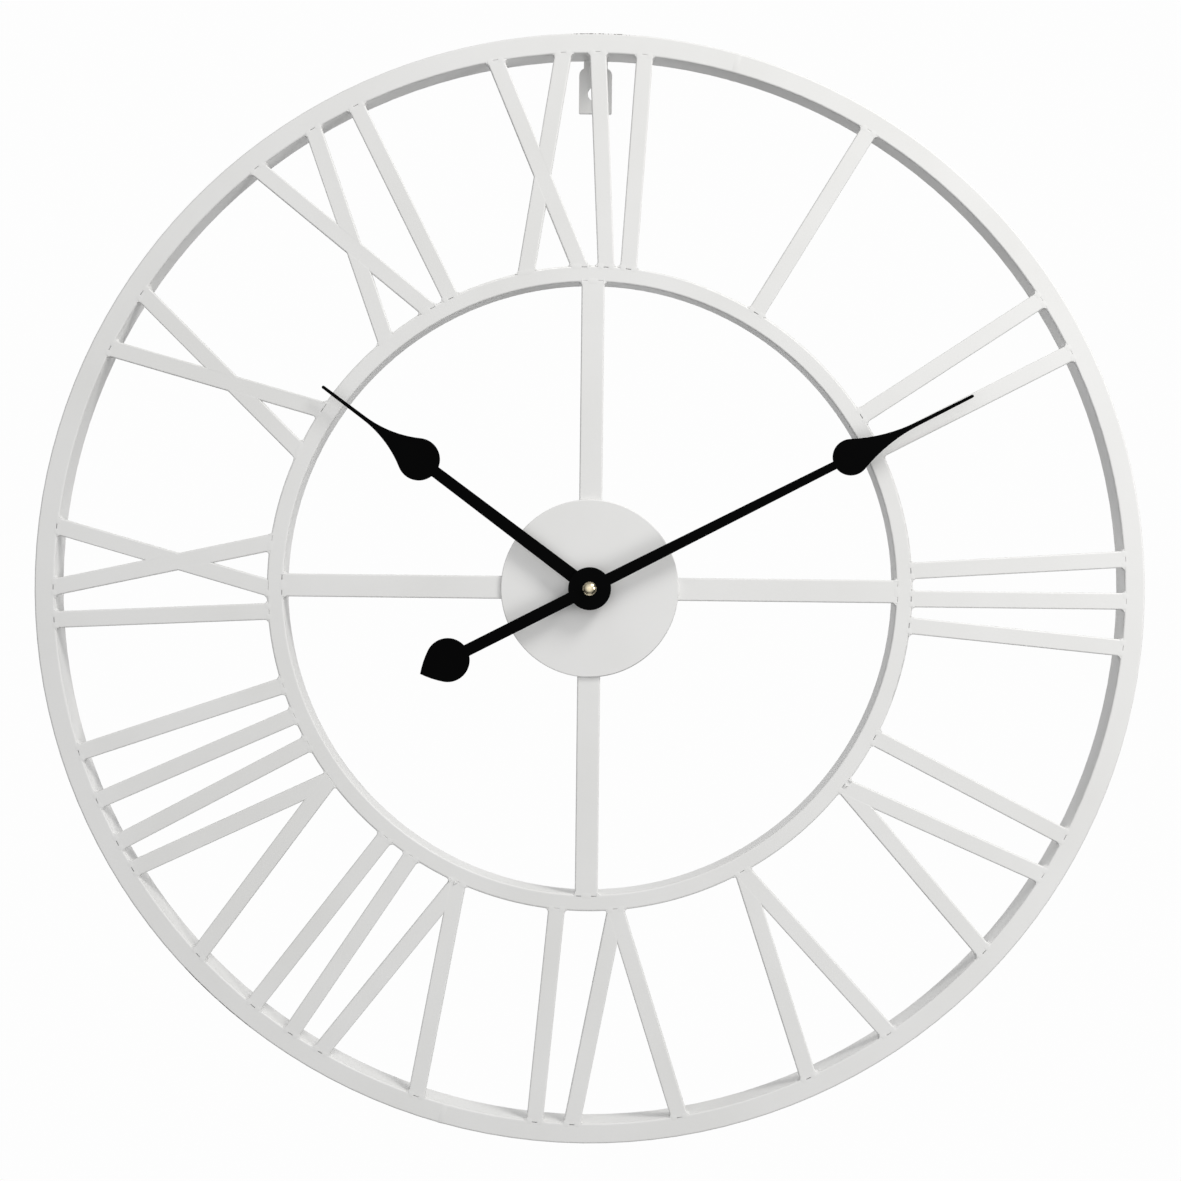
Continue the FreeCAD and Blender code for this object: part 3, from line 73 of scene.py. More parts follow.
class Graph:
    """Builder for one node tree: makes nodes, sets their values and joins them."""

    def __init__(self, tree: bpy.types.NodeTree) -> None:
        """Keep the tree that the nodes go into."""
        self.tree = tree

    def feed(self, socket: Socket, value: object) -> None:
        """Join a socket to another socket, or set its value."""
        if isinstance(value, bpy.types.NodeSocket):
            self.tree.links.new(value, socket)
        else:
            socket.default_value = value

    def fill(self, node: bpy.types.Node, **inputs: object) -> None:
        """Feed a node's inputs by name; an underscore stands for a space."""
        for key, value in inputs.items():
            self.feed(node.inputs[key.replace("_", " ")], value)

    def node(self, kind: str, inputs: dict | None = None, **settings: object) -> bpy.types.Node:
        """Make a node.

        Args:
            kind: Blender's name of the node type.
            inputs: values or sockets for its inputs, by name or number.
            settings: properties of the node itself.

        Returns:
            The new node.
        """
        made = self.tree.nodes.new(kind)
        for name, value in settings.items():
            setattr(made, name, value)
        for name, value in (inputs or {}).items():
            self.feed(made.inputs[name], value)
        return made

    def math(self, operation: str, *values: object, clamp: bool = False) -> Socket:
        """Arithmetic on one to three values.

        Args:
            operation: Blender's name of the operation.
            values: numbers or sockets.
            clamp: keep the result between 0 and 1.

        Returns:
            The result.
        """
        inputs = dict(enumerate(values))
        return self.node("ShaderNodeMath", inputs, operation=operation, use_clamp=clamp).outputs[0]

    def times(self, *values: object, clamp: bool = False) -> Socket:
        """Product of two values."""
        return self.math("MULTIPLY", *values, clamp=clamp)

    def scaled(self, value: object, factor: object, start: object) -> Socket:
        """Value times a factor, added to a start."""
        return self.math("MULTIPLY_ADD", value, factor, start)

    def length(self, first: object, second: object) -> Socket:
        """Root of the sum of two squares."""
        squares = self.math("ADD", self.times(first, first), self.times(second, second))
        return self.math("SQRT", squares)

    def mix(self, factor: object, first: object, second: object) -> Socket:
        """Colour between two colours; factor 0 gives the first."""
        made = self.node("ShaderNodeMix", {0: factor, 6: first, 7: second}, data_type="RGBA")
        return made.outputs[2]

    def ramp(self, value: object, low: float, high: float, start: float = 0.0, end: float = 1.0) -> Socket:
        """Smooth step of a value.

        Args:
            value: what is stepped.
            low: where the step begins.
            high: where it is complete.
            start: result below the step.
            end: result above it.

        Returns:
            The stepped value.
        """
        inputs = {"Value": value, "From Min": low, "From Max": high, "To Min": start, "To Max": end}
        return self.node("ShaderNodeMapRange", inputs, interpolation_type="SMOOTHSTEP").outputs["Result"]

    def noise(self, vector: object, scale: object, detail: float = 3.0, rough: float = 0.5) -> Socket:
        """Fractal noise between 0 and 1 at a scale counted per metre."""
        inputs = {"Vector": vector, "Scale": scale, "Detail": detail, "Roughness": rough}
        return self.node("ShaderNodeTexNoise", inputs).outputs["Fac"]

    def place(self) -> Socket:
        """Coordinates of the piece itself."""
        return self.node("ShaderNodeTexCoord").outputs["Object"]

    def normal(self) -> Socket:
        """The surface's own normal."""
        return self.node("ShaderNodeNewGeometry").outputs["Normal"]

    def axes(self, vector: object) -> tuple[Socket, Socket, Socket]:
        """The three parts of a vector."""
        parts = self.node("ShaderNodeSeparateXYZ", {0: vector}).outputs
        return parts[0], parts[1], parts[2]

    def bump(self, height: object, strength: float, depth: float, normal: object | None = None) -> Socket:
        """Normal raised by a height map.

        Args:
            height: the map, from 0 to 1.
            strength: how much of it shows.
            depth: how high 1 stands, in metres.
            normal: normal it starts from, if not the surface's own.

        Returns:
            The new normal.
        """
        inputs = {"Strength": strength, "Distance": depth, "Height": height}
        if normal is not None:
            inputs["Normal"] = normal
        return self.node("ShaderNodeBump", inputs).outputs["Normal"]


class GroupKit:
    """Node groups that several finishes share, each built once."""

    def __init__(self) -> None:
        """Start with no group built."""
        self.groups: dict[str, bpy.types.NodeTree] = {}

    def use(self, graph: Graph, name: str, **inputs: object) -> bpy.types.bpy_prop_collection:
        """Place a group in a material.

        Args:
            graph: the material's tree.
            name: the method that builds the group.
            inputs: values for the group's inputs; an underscore stands for a space.

        Returns:
            The group's outputs.
        """
        if name not in self.groups:
            self.groups[name] = getattr(self, name)()
        made = graph.node("ShaderNodeGroup", node_tree=self.groups[name])
        graph.fill(made, **inputs)
        return made.outputs

    @staticmethod
    def blank(name: str, inputs: dict[str, float], outputs: dict[str, str]) -> tuple[Graph, dict, dict]:
        """Make an empty group with number inputs.

        Args:
            name: name of the group.
            inputs: each input's default.
            outputs: each output's socket type, Float or Vector.

        Returns:
            The group's graph, its inputs by name, and its output sockets by name.
        """
        tree = bpy.data.node_groups.new(name, "ShaderNodeTree")
        for key, value in inputs.items():
            socket = tree.interface.new_socket(key, in_out="INPUT", socket_type="NodeSocketFloat")
            socket.default_value = value
        for key, kind in outputs.items():
            tree.interface.new_socket(key, in_out="OUTPUT", socket_type=f"NodeSocket{kind}")
        graph = Graph(tree)
        given = graph.node("NodeGroupInput").outputs
        wanted = graph.node("NodeGroupOutput").inputs
        return graph, {key: given[key] for key in inputs}, {key: wanted[key] for key in outputs}

    def soft_edge(self) -> bpy.types.NodeTree:
        """Edges of a piece: a mask on its sharp and its rounded edges, and a rounded normal.

        The mask is 1 where the rounded normal leaves the flat one, and on corners that are round
        in the metal, where the flat normal lies between the dial's axis and the dial's plane.
        """
        graph, given, wanted = self.blank("soft_edge", {"Radius": 0.5 * MM}, {"Edge": "Float", "Normal": "Vector"})
        rounded = graph.node("ShaderNodeBevel", {"Radius": given["Radius"]}, samples=6).outputs["Normal"]
        flat = graph.normal()
        dot = graph.node("ShaderNodeVectorMath", {0: rounded, 1: flat}, operation="DOT_PRODUCT").outputs["Value"]
        level = graph.math("ABSOLUTE", graph.axes(flat)[1])
        band = graph.times(graph.ramp(level, 0.15, 0.4), graph.ramp(level, 0.97, 0.85))
        graph.feed(wanted["Edge"], graph.math("MAXIMUM", graph.ramp(dot, 0.995, 0.80), band))
        graph.feed(wanted["Normal"], rounded)
        return graph.tree

    def orange_peel(self) -> bpy.types.NodeTree:
        """Sprayed or baked coat: fine dimples, slow waves under them, and a slow change of shade."""
        graph, given, wanted = self.blank(
            "orange_peel", {"Dimple Scale": 900.0, "Wave Scale": 90.0}, {"Height": "Float", "Shade": "Float"}
        )
        place = graph.place()
        dimples = graph.noise(place, given["Dimple Scale"], 2.0, 0.45)
        waves = graph.noise(place, given["Wave Scale"], 2.0)
        height = graph.math("ADD", graph.times(dimples, 0.45), graph.times(waves, 0.55))
        graph.feed(wanted["Height"], height)
        slow = graph.noise(place, 9.0, 4.0, 0.6)
        graph.feed(wanted["Shade"], graph.ramp(slow, 0.3, 0.7))
        return graph.tree

    def dust_and_corner_shade(self) -> bpy.types.NodeTree:
        """Dust thickest on faces that look up and broken up by noise, and painted corner shade where ambient
        occlusion finds nearby surfaces.
        """
        graph, given, wanted = self.blank(
            "dust_and_corner_shade", {"Speck Scale": 1400.0, "Reach": 6.0 * MM}, {"Mask": "Float", "Corner Shade": "Float"}
        )
        normal = graph.normal()
        upward = graph.ramp(graph.axes(normal)[2], 0.25, 1.0)
        specks = graph.ramp(graph.noise(graph.place(), given["Speck Scale"], 5.0, 0.7), 0.48, 0.72)
        film = graph.ramp(graph.noise(graph.place(), 60.0, 4.0), 0.35, 0.75)
        loose = graph.times(upward, graph.math("MAXIMUM", specks, graph.times(film, 0.5)))
        # Painted shade: ambient occlusion darkens corners and gaps between parts, broken up by the film noise.
        shelter = graph.node("ShaderNodeAmbientOcclusion", {"Distance": given["Reach"]}, samples=6).outputs["AO"]
        corner = graph.math("SUBTRACT", 1.0, shelter, clamp=True)
        graph.feed(wanted["Mask"], loose)
        graph.feed(wanted["Corner Shade"], graph.times(corner, film))
        return graph.tree

    def chips(self) -> bpy.types.NodeTree:
        """Small chips: sparse ragged flecks, cut from an edge mask by two noises."""
        graph, given, wanted = self.blank(
            "chips", {"Edge": 0.0, "Amount": 0.5, "Fleck Scale": 500.0}, {"Mask": "Float"}
        )
        fleck = graph.noise(graph.place(), given["Fleck Scale"], 5.0, 0.65)
        spread = graph.noise(graph.place(), 31.0, 3.0)
        limit = graph.math("SUBTRACT", 0.92, graph.times(given["Amount"], spread))
        rise = graph.times(graph.math("SUBTRACT", fleck, limit), 22.0, clamp=True)
        graph.feed(wanted["Mask"], graph.times(rise, given["Edge"], clamp=True))
        return graph.tree

    def grain(self) -> bpy.types.NodeTree:
        """Spark-eroded mould grain of plastic parts: a close field of small pits and a faint flow."""
        graph, given, wanted = self.blank(
            "grain", {"Pit Scale": 3800.0}, {"Height": "Float", "Shade": "Float"}
        )
        place = graph.place()
        pits = graph.node("ShaderNodeTexVoronoi", {"Vector": place, "Scale": given["Pit Scale"]}).outputs["Distance"]
        flow = graph.noise(place, 140.0, 3.0)
        graph.feed(wanted["Height"], graph.scaled(flow, 0.3, pits))
        graph.feed(wanted["Shade"], graph.ramp(flow, 0.3, 0.7))
        return graph.tree

    def turned(self) -> bpy.types.NodeTree:
        """Tool marks of a lathe about the dial's axis: rings whose height follows the radius."""
        graph, given, wanted = self.blank(
            "turned",
            {"Centre X": 0.0, "Centre Z": 0.0, "Ring Scale": 9000.0},
            {"Height": "Float", "Shade": "Float"},
        )
        place = graph.place()
        x, y, z = graph.axes(place)
        from_x = graph.math("SUBTRACT", x, given["Centre X"])
        from_z = graph.math("SUBTRACT", z, given["Centre Z"])
        radius = graph.length(from_x, from_z)
        walk = graph.times(graph.math("ADD", radius, y), given["Ring Scale"])
        rings = graph.node("ShaderNodeTexNoise", {"W": walk, "Scale": 1.0, "Detail": 2.0}, noise_dimensions="1D")
        graph.feed(wanted["Height"], rings.outputs["Fac"])
        graph.feed(wanted["Shade"], graph.noise(place, 700.0, 4.0))
        return graph.tree


KIT = GroupKit()


def new_material(name: str) -> tuple[bpy.types.Material, Graph, bpy.types.Node]:
    """Make a material with an empty Principled shader.

    Args:
        name: name of the finish.

    Returns:
        The material, its graph and its shader node.
    """
    material = bpy.data.materials.new(name)
    material.use_nodes = True
    graph = Graph(material.node_tree)
    return material, graph, material.node_tree.nodes["Principled BSDF"]


# ---------------------------------------------------------------- finishes


@dataclass(frozen=True)
class PowderCoat:
    """White baked powder coat over steel, with a few dark chips on its edges."""

    name: str = "white_powder_coat"
    light: Colour = (0.84, 0.84, 0.835, 1.0)
    shaded: Colour = (0.80, 0.80, 0.79, 1.0)
    # Colour for painted corner shade and for real dust on faces that look up.
    dust_and_shade_colour: Colour = (0.45, 0.42, 0.38, 1.0)
    bare: Colour = (0.09, 0.08, 0.075, 1.0)
    edge_radius: float = 0.3 * MM
    chip_amount: float = 0.34
    worn_amount: float = 0.62
    worn_bearings: tuple[float, ...] = (0.0, 222.0)
    worn_reach: float = 40.0 * MM
    worn_rim: float = 4.0 * MM

    def worn_places(self, graph: Graph, dial: "Dial") -> Socket:
        """Mask of the rim where the coat is knocked most.

        Args:
            graph: the material's graph.
            dial: the dial's measures.

        Returns:
            1 near each worn place on the outer rim, fading to 0.
        """
        total: Socket | None = None
        for bearing in self.worn_bearings:
            spot = tuple(dial.point(dial.outer_radius, bearing, dial.front))
            near = graph.node("ShaderNodeVectorMath", {0: graph.place(), 1: spot}, operation="DISTANCE")
            mask = graph.ramp(near.outputs["Value"], self.worn_reach, 0.2 * self.worn_reach)
            total = mask if total is None else graph.math("MAXIMUM", total, mask)
        x, _, z = graph.axes(graph.place())
        from_z = graph.math("SUBTRACT", z, dial.centre[2])
        radius = graph.length(x, from_z)
        rim = graph.ramp(radius, dial.outer_radius - self.worn_rim, dial.outer_radius - 0.5 * self.worn_rim)
        return graph.times(total, rim)

    def material(self, dial: "Dial") -> bpy.types.Material:
        """Coat with orange peel, painted shade in corners, dust and edge chips."""
        material, graph, shader = new_material(self.name)
        edge = KIT.use(graph, "soft_edge", Radius=self.edge_radius)
        peel = KIT.use(graph, "orange_peel")
        dust_and_corner_shade = KIT.use(graph, "dust_and_corner_shade", Reach=9.0 * MM)
        worn = self.worn_places(graph, dial)
        amount = graph.scaled(worn, self.worn_amount, self.chip_amount)
        chips = KIT.use(graph, "chips", Edge=edge["Edge"], Amount=amount)["Mask"]
        colour = graph.mix(peel["Shade"], self.light, self.shaded)
        # Painted shade: corners and gaps between parts are darkened by ambient occlusion; the next line adds real
        # dust.
        colour = graph.mix(graph.times(dust_and_corner_shade["Corner Shade"], 0.30), colour, self.dust_and_shade_colour)
        colour = graph.mix(graph.times(dust_and_corner_shade["Mask"], 0.10), colour, self.dust_and_shade_colour)
        graph.fill(shader, Base_Color=graph.mix(chips, colour, self.bare))
        rough = graph.scaled(peel["Shade"], 0.10, 0.40)
        graph.fill(shader, Roughness=graph.scaled(chips, 0.3, rough))
        height = graph.math("SUBTRACT", peel["Height"], chips)
        graph.fill(shader, Normal=graph.bump(height, 0.5, 0.06 * MM, edge["Normal"]))
        shader.inputs["Coat Weight"].default_value = 0.12
        shader.inputs["Coat Roughness"].default_value = 0.35
        return material


@dataclass(frozen=True)
class HandPaint:
    """Satin black paint on stamped sheet, thin at the edges."""

    name: str = "black_hand_paint"
    black: Colour = (0.0007, 0.0007, 0.0008, 1.0)
    worn: Colour = (0.010, 0.0095, 0.009, 1.0)
    edge_radius: float = 0.16 * MM

    def material(self) -> bpy.types.Material:
        """Paint with fine peel, edge thinning and specks of dust."""
        material, graph, shader = new_material(self.name)
        edge = KIT.use(graph, "soft_edge", Radius=self.edge_radius)
        peel = KIT.use(graph, "orange_peel", Dimple_Scale=2200.0, Wave_Scale=260.0)
        specks = graph.ramp(graph.noise(graph.place(), 1900.0, 4.0, 0.7), 0.70, 0.80)
        thin = graph.times(edge["Edge"], 0.6)
        colour = graph.mix(graph.math("MAXIMUM", thin, graph.times(specks, 0.5)), self.black, self.worn)
        graph.fill(shader, Base_Color=colour)
        graph.fill(shader, Roughness=graph.scaled(peel["Shade"], 0.12, 0.46))
        normal = graph.bump(peel["Height"], 0.35, 0.05 * MM, edge["Normal"])
        graph.fill(shader, Normal=normal)
        shader.inputs["Specular IOR Level"].default_value = 0.03
        return material


@dataclass(frozen=True)
class Metal:
    """Turned or rolled bare metal."""

    name: str
    bright: Colour
    dull: Colour
    roughness: float
    ring_scale: float = 9000.0
    ring_depth: float = 0.02 * MM
    edge_radius: float = 0.12 * MM

    def material(self, dial: "Dial") -> bpy.types.Material:
        """Metal with tool marks about the dial's axis and cloudy tarnish."""
        material, graph, shader = new_material(self.name)
        edge = KIT.use(graph, "soft_edge", Radius=self.edge_radius)
        marks = KIT.use(
            graph, "turned", Centre_X=dial.centre[0], Centre_Z=dial.centre[2], Ring_Scale=self.ring_scale
        )
        tarnish = graph.ramp(marks["Shade"], 0.35, 0.75)
        clean = graph.math("SUBTRACT", tarnish, edge["Edge"], clamp=True)
        graph.fill(shader, Base_Color=graph.mix(clean, self.bright, self.dull))
        rough = graph.scaled(tarnish, 0.14, self.roughness)
        graph.fill(shader, Roughness=rough)
        normal = graph.bump(marks["Height"], 0.3, self.ring_depth, edge["Normal"])
        graph.fill(shader, Normal=normal)
        shader.inputs["Metallic"].default_value = 1.0
        return material


@dataclass(frozen=True)
class Moulded:
    """Moulded plastic, rubber or resin with mould grain."""

    name: str
    body: Colour
    pale: Colour
    roughness: float
    pit_scale: float = 3800.0
    pit_depth: float = 0.03 * MM
    edge_radius: float = 0.25 * MM
    dust_share: float = 0.25

    def material(self) -> bpy.types.Material:
        """Plastic with grain, polished edges with a painted highlight, and settled dust."""
        material, graph, shader = new_material(self.name)
        edge = KIT.use(graph, "soft_edge", Radius=self.edge_radius)
        grain = KIT.use(graph, "grain", Pit_Scale=self.pit_scale)
        dust_and_corner_shade = KIT.use(graph, "dust_and_corner_shade", Reach=3.0 * MM)
        shade = graph.times(grain["Shade"], 0.25)
        settled = graph.times(dust_and_corner_shade["Mask"], self.dust_share)
        colour = graph.mix(graph.math("MAXIMUM", shade, settled), self.body, self.pale)
        # Painted highlight: edges and rounded corners are painted towards the pale colour.
        graph.fill(shader, Base_Color=graph.mix(edge["Edge"], colour, self.pale))
        polish = graph.times(edge["Edge"], -0.12)
        rough = graph.scaled(grain["Shade"], 0.08, self.roughness)
        graph.fill(shader, Roughness=graph.math("ADD", rough, polish))
        normal = graph.bump(grain["Height"], 0.4, self.pit_depth, edge["Normal"])
        graph.fill(shader, Normal=normal)
        return material


@dataclass(frozen=True)
class CellJacket:
    """Printed shrink jacket of the cell: a dark body, a coloured shoulder and bare ends."""

    name: str = "battery_jacket"
    body: Colour = (0.03, 0.15, 0.09, 1.0)
    shoulder: Colour = (0.55, 0.56, 0.50, 1.0)
    line: Colour = (0.75, 0.75, 0.74, 1.0)
    bare: Colour = (0.62, 0.62, 0.60, 1.0)
    shoulder_share: float = 0.72
    line_width: float = 0.5 * MM

    def material(self) -> bpy.types.Material:
        """Jacket bands along the cell, metal where the ends are bare."""
        material, graph, shader = new_material(self.name)
        low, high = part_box("battery")
        along = graph.axes(graph.place())[0]
        change = low[0] + (high[0] - low[0]) * self.shoulder_share
        above = graph.math("GREATER_THAN", along, change)
        gap = graph.math("ABSOLUTE", graph.math("SUBTRACT", along, change))
        stripe = graph.math("LESS_THAN", gap, self.line_width)
        colour = graph.mix(stripe, graph.mix(above, self.body, self.shoulder), self.line)
        facing = graph.math("ABSOLUTE", graph.axes(graph.normal())[0])
        ends = graph.ramp(facing, 0.75, 0.92)
        scuffs = graph.ramp(graph.noise(graph.place(), 800.0, 5.0, 0.7), 0.55, 0.8)
        colour = graph.mix(graph.times(scuffs, 0.18), colour, self.line)
        graph.fill(shader, Base_Color=graph.mix(ends, colour, self.bare))
        graph.fill(shader, Metallic=ends)
        graph.fill(shader, Roughness=graph.scaled(scuffs, 0.25, 0.28))
        graph.fill(shader, Normal=graph.bump(scuffs, 0.2, 0.02 * MM))
        return material


@dataclass(frozen=True)
class CoilWire:
    """Enamelled copper wire wound in close turns along the bobbin."""

    name: str = "coil_copper"
    copper: Colour = (0.52, 0.17, 0.055, 1.0)
    # Painted shade in the grooves between turns.
    dark: Colour = (0.16, 0.05, 0.02, 1.0)
    turns_per_metre: float = 9000.0

    def material(self) -> bpy.types.Material:
        """Turns as a ridge per wire, shifted a little by noise, with painted shade darkening the grooves between
        turns.
        """
        material, graph, shader = new_material(self.name)
        along = graph.axes(graph.place())[0]
        wander = graph.times(graph.noise(graph.place(), 900.0, 2.0), 1.4)
        phase = graph.scaled(along, 2.0 * math.pi * self.turns_per_metre, wander)
        ridge = graph.scaled(graph.math("SINE", phase), 0.5, 0.5)
        # Painted shade: the grooves between turns take the dark colour, the ridges the copper.
        graph.fill(shader, Base_Color=graph.mix(ridge, self.dark, self.copper))
        graph.fill(shader, Roughness=graph.scaled(ridge, -0.15, 0.42))
        graph.fill(shader, Normal=graph.bump(ridge, 0.7, 0.03 * MM))
        shader.inputs["Metallic"].default_value = 0.8
        return material


@dataclass(frozen=True)
class BoardLaminate:
    """Circuit board: solder resist with copper tracks under it."""

    name: str = "board_laminate"
    resist: Colour = (0.02, 0.11, 0.045, 1.0)
    track: Colour = (0.055, 0.22, 0.08, 1.0)
    pad: Colour = (0.62, 0.60, 0.55, 1.0)
    track_scale: float = 420.0

    def material(self) -> bpy.types.Material:
        """Tracks as cell borders of a squared pattern, pads as dots on a grid."""
        material, graph, shader = new_material(self.name)
        place = graph.place()
        cells = graph.node(
            "ShaderNodeTexVoronoi",
            {"Vector": place, "Scale": self.track_scale, "Randomness": 0.6},
            feature="DISTANCE_TO_EDGE",
        ).outputs["Distance"]
        tracks = graph.ramp(cells, 0.10, 0.07)
        dots = graph.node(
            "ShaderNodeTexVoronoi", {"Vector": place, "Scale": 0.8 * self.track_scale, "Randomness": 0.25}
        ).outputs["Distance"]
        pads = graph.ramp(dots, 0.22, 0.18)
        colour = graph.mix(pads, graph.mix(tracks, self.resist, self.track), self.pad)
        graph.fill(shader, Base_Color=colour)
        graph.fill(shader, Metallic=pads)
        graph.fill(shader, Roughness=graph.scaled(tracks, -0.08, 0.38))
        height = graph.math("MAXIMUM", tracks, pads)
        graph.fill(shader, Normal=graph.bump(height, 0.5, 0.04 * MM))
        return material


# ---------------------------------------------------------------- measures and meshes


@dataclass
class Dial:
    """Measures of the dial, read from the frame."""

    centre: np.ndarray
    front: float
    outer_radius: float
    outer_inside: float
    inner_outside: float
    inner_inside: float

    @classmethod
    def measure(cls) -> "Dial":
        """Read the rings of the frame.

        Returns:
            The dial's measures.
        """
        points = np.concatenate([node_points(node) for node in OUTER_RING])
        low, high = points.min(axis=0), points.max(axis=0)
        centre = (low + high) / 2
        centre[1] = 0.0
        outer = cls.radii(points, centre)
        inner = cls.radii(node_points("inner_ring"), centre)
        return cls(centre, float(low[1]), outer.max(), outer.min(), inner.max(), inner.min())

    @staticmethod
    def radii(points: np.ndarray, centre: np.ndarray) -> np.ndarray:
        """Distance of points from the dial's axis."""
        return np.hypot(points[:, 0] - centre[0], points[:, 2] - centre[2])

    def bearings(self, points: np.ndarray) -> np.ndarray:
        """Clockwise angles of points from twelve, in radians from 0 to a full turn."""
        turn = np.arctan2(points[:, 0] - self.centre[0], points[:, 2] - self.centre[2])
        return np.mod(turn, 2.0 * math.pi)

    @staticmethod
    def ways(turn: np.ndarray | float) -> tuple[np.ndarray, np.ndarray]:
        """Unit vectors away from the centre and clockwise round it, at a bearing in radians."""
        sine, cosine, level = np.sin(turn), np.cos(turn), np.zeros_like(turn)
        return np.stack((sine, level, cosine), axis=-1), np.stack((cosine, level, -sine), axis=-1)

    def point(self, radius: float, bearing: float, y: float) -> np.ndarray:
        """Place at a radius, a bearing in degrees and a depth."""
        turn = math.radians(bearing)
        return self.centre + np.array((radius * math.sin(turn), y, radius * math.cos(turn)))


def node_points(node: str) -> np.ndarray:
    """Vertices of a CAD node in the row frame, one row each."""
    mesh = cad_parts[node].data
    flat = np.empty(len(mesh.vertices) * 3)
    mesh.vertices.foreach_get("co", flat)
    world = np.asarray(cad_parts[node].matrix_world)
    return flat.reshape(-1, 3) @ world[:3, :3].T + world[:3, 3]


def node_triangles(node: str) -> tuple[np.ndarray, np.ndarray]:
    """Triangles of a CAD node.

    Args:
        node: name of the node.

    Returns:
        The corner places, shaped (count, 3, 3), and the unit normals.
    """
    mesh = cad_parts[node].data
    mesh.calc_loop_triangles()
    corners = np.empty(len(mesh.loop_triangles) * 3, dtype=np.int64)
    mesh.loop_triangles.foreach_get("vertices", corners)
    places = node_points(node)[corners].reshape(-1, 3, 3)
    normals = np.cross(places[:, 1] - places[:, 0], places[:, 2] - places[:, 0])
    lengths = np.linalg.norm(normals, axis=1, keepdims=True)
    return places, normals / np.maximum(lengths, 1e-18)


@dataclass
class Shell:
    """Mesh under construction: vertices and faces of one piece."""

    vertices: list[np.ndarray]
    faces: list[np.ndarray]
    caps: list[list[int]]
    count: int = 0

    @classmethod
    def empty(cls) -> "Shell":
        """Shell with nothing in it."""
        return cls([], [], [])

    def add_grid(self, grid: np.ndarray, closed_rows: bool = False, caps: bool = True) -> None:
        """Add a surface whose grid runs along a path and round a closed profile.

        Face (i, j) joins grid points (i, j), (i+1, j), (i+1, j+1) and (i, j+1), with j counted
        round the profile, and with i counted round the path where it closes.

        Args:
            grid: places shaped (path, profile, 3).
            closed_rows: the path ends where it begins.
            caps: close both ends of an open path with one face each.
        """
        rows, columns = grid.shape[:2]
        index = np.arange(rows * columns).reshape(rows, columns) + self.count
        ahead = np.roll(index, -1, axis=0)
        beside = np.roll(index, -1, axis=1)
        corner = np.roll(ahead, -1, axis=1)
        last = rows if closed_rows else rows - 1
        quads = np.stack((index[:last], ahead[:last], corner[:last], beside[:last]), axis=-1)
        self.vertices.append(grid.reshape(-1, 3))
        self.faces.append(quads.reshape(-1, 4))
        if caps and not closed_rows:
            self.caps.append(index[0, ::-1].tolist())
            self.caps.append(index[-1].tolist())
        self.count += rows * columns

    def piece(self, name: str, material: bpy.types.Material, body: Body, slot: Slot) -> bpy.types.Object:
        """Turn the shell into a piece.

        Args:
            name: the piece's name.
            material: its finish.
            body: what it rides on.
            slot: not used.

        Returns:
            The piece, in the scene.
        """
        mesh = bpy.data.meshes.new(name)
        faces = np.concatenate(self.faces).tolist() + self.caps
        mesh.from_pydata(np.concatenate(self.vertices).tolist(), [], faces)
        mesh.materials.append(material)
        shell = bmesh.new()
        shell.from_mesh(mesh)
        bmesh.ops.recalc_face_normals(shell, faces=shell.faces)
        shell.to_mesh(mesh)
        shell.free()
        mesh.polygons.foreach_set("use_smooth", np.ones(len(mesh.polygons), dtype=bool))
        mesh.set_sharp_from_angle(angle=SHARP_ANGLE)
        made = in_scene(name, mesh)
        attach(made, body.value)
        LOG.info("piece %s: %d faces, rides on %s", name, len(mesh.polygons), body.value)
        return made


def in_scene(name: str, data: bpy.types.ID) -> bpy.types.Object:
    """Object made from a mesh, a lamp or a camera, linked to the scene."""
    made = bpy.data.objects.new(name, data)
    bpy.context.scene.collection.objects.link(made)
    return made


def dress(material: bpy.types.Material, *nodes: str) -> None:
    """Put a finish on CAD nodes.

    Args:
        material: the finish.
        nodes: names of the nodes.
    """
    for node in nodes:
        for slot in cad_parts[node].material_slots:
            slot.material = material
        LOG.info("node %s: %s", node, material.name)


# ---------------------------------------------------------------- welded frame


@dataclass
class Joint:
    """Foot of a bar on a ring's wall: its arc, its depths and the way its sides leave."""

    radius: float
    side: float
    first: float
    last: float
    front: float
    back: float
    corner: float
    leave_first: np.ndarray
    leave_last: np.ndarray


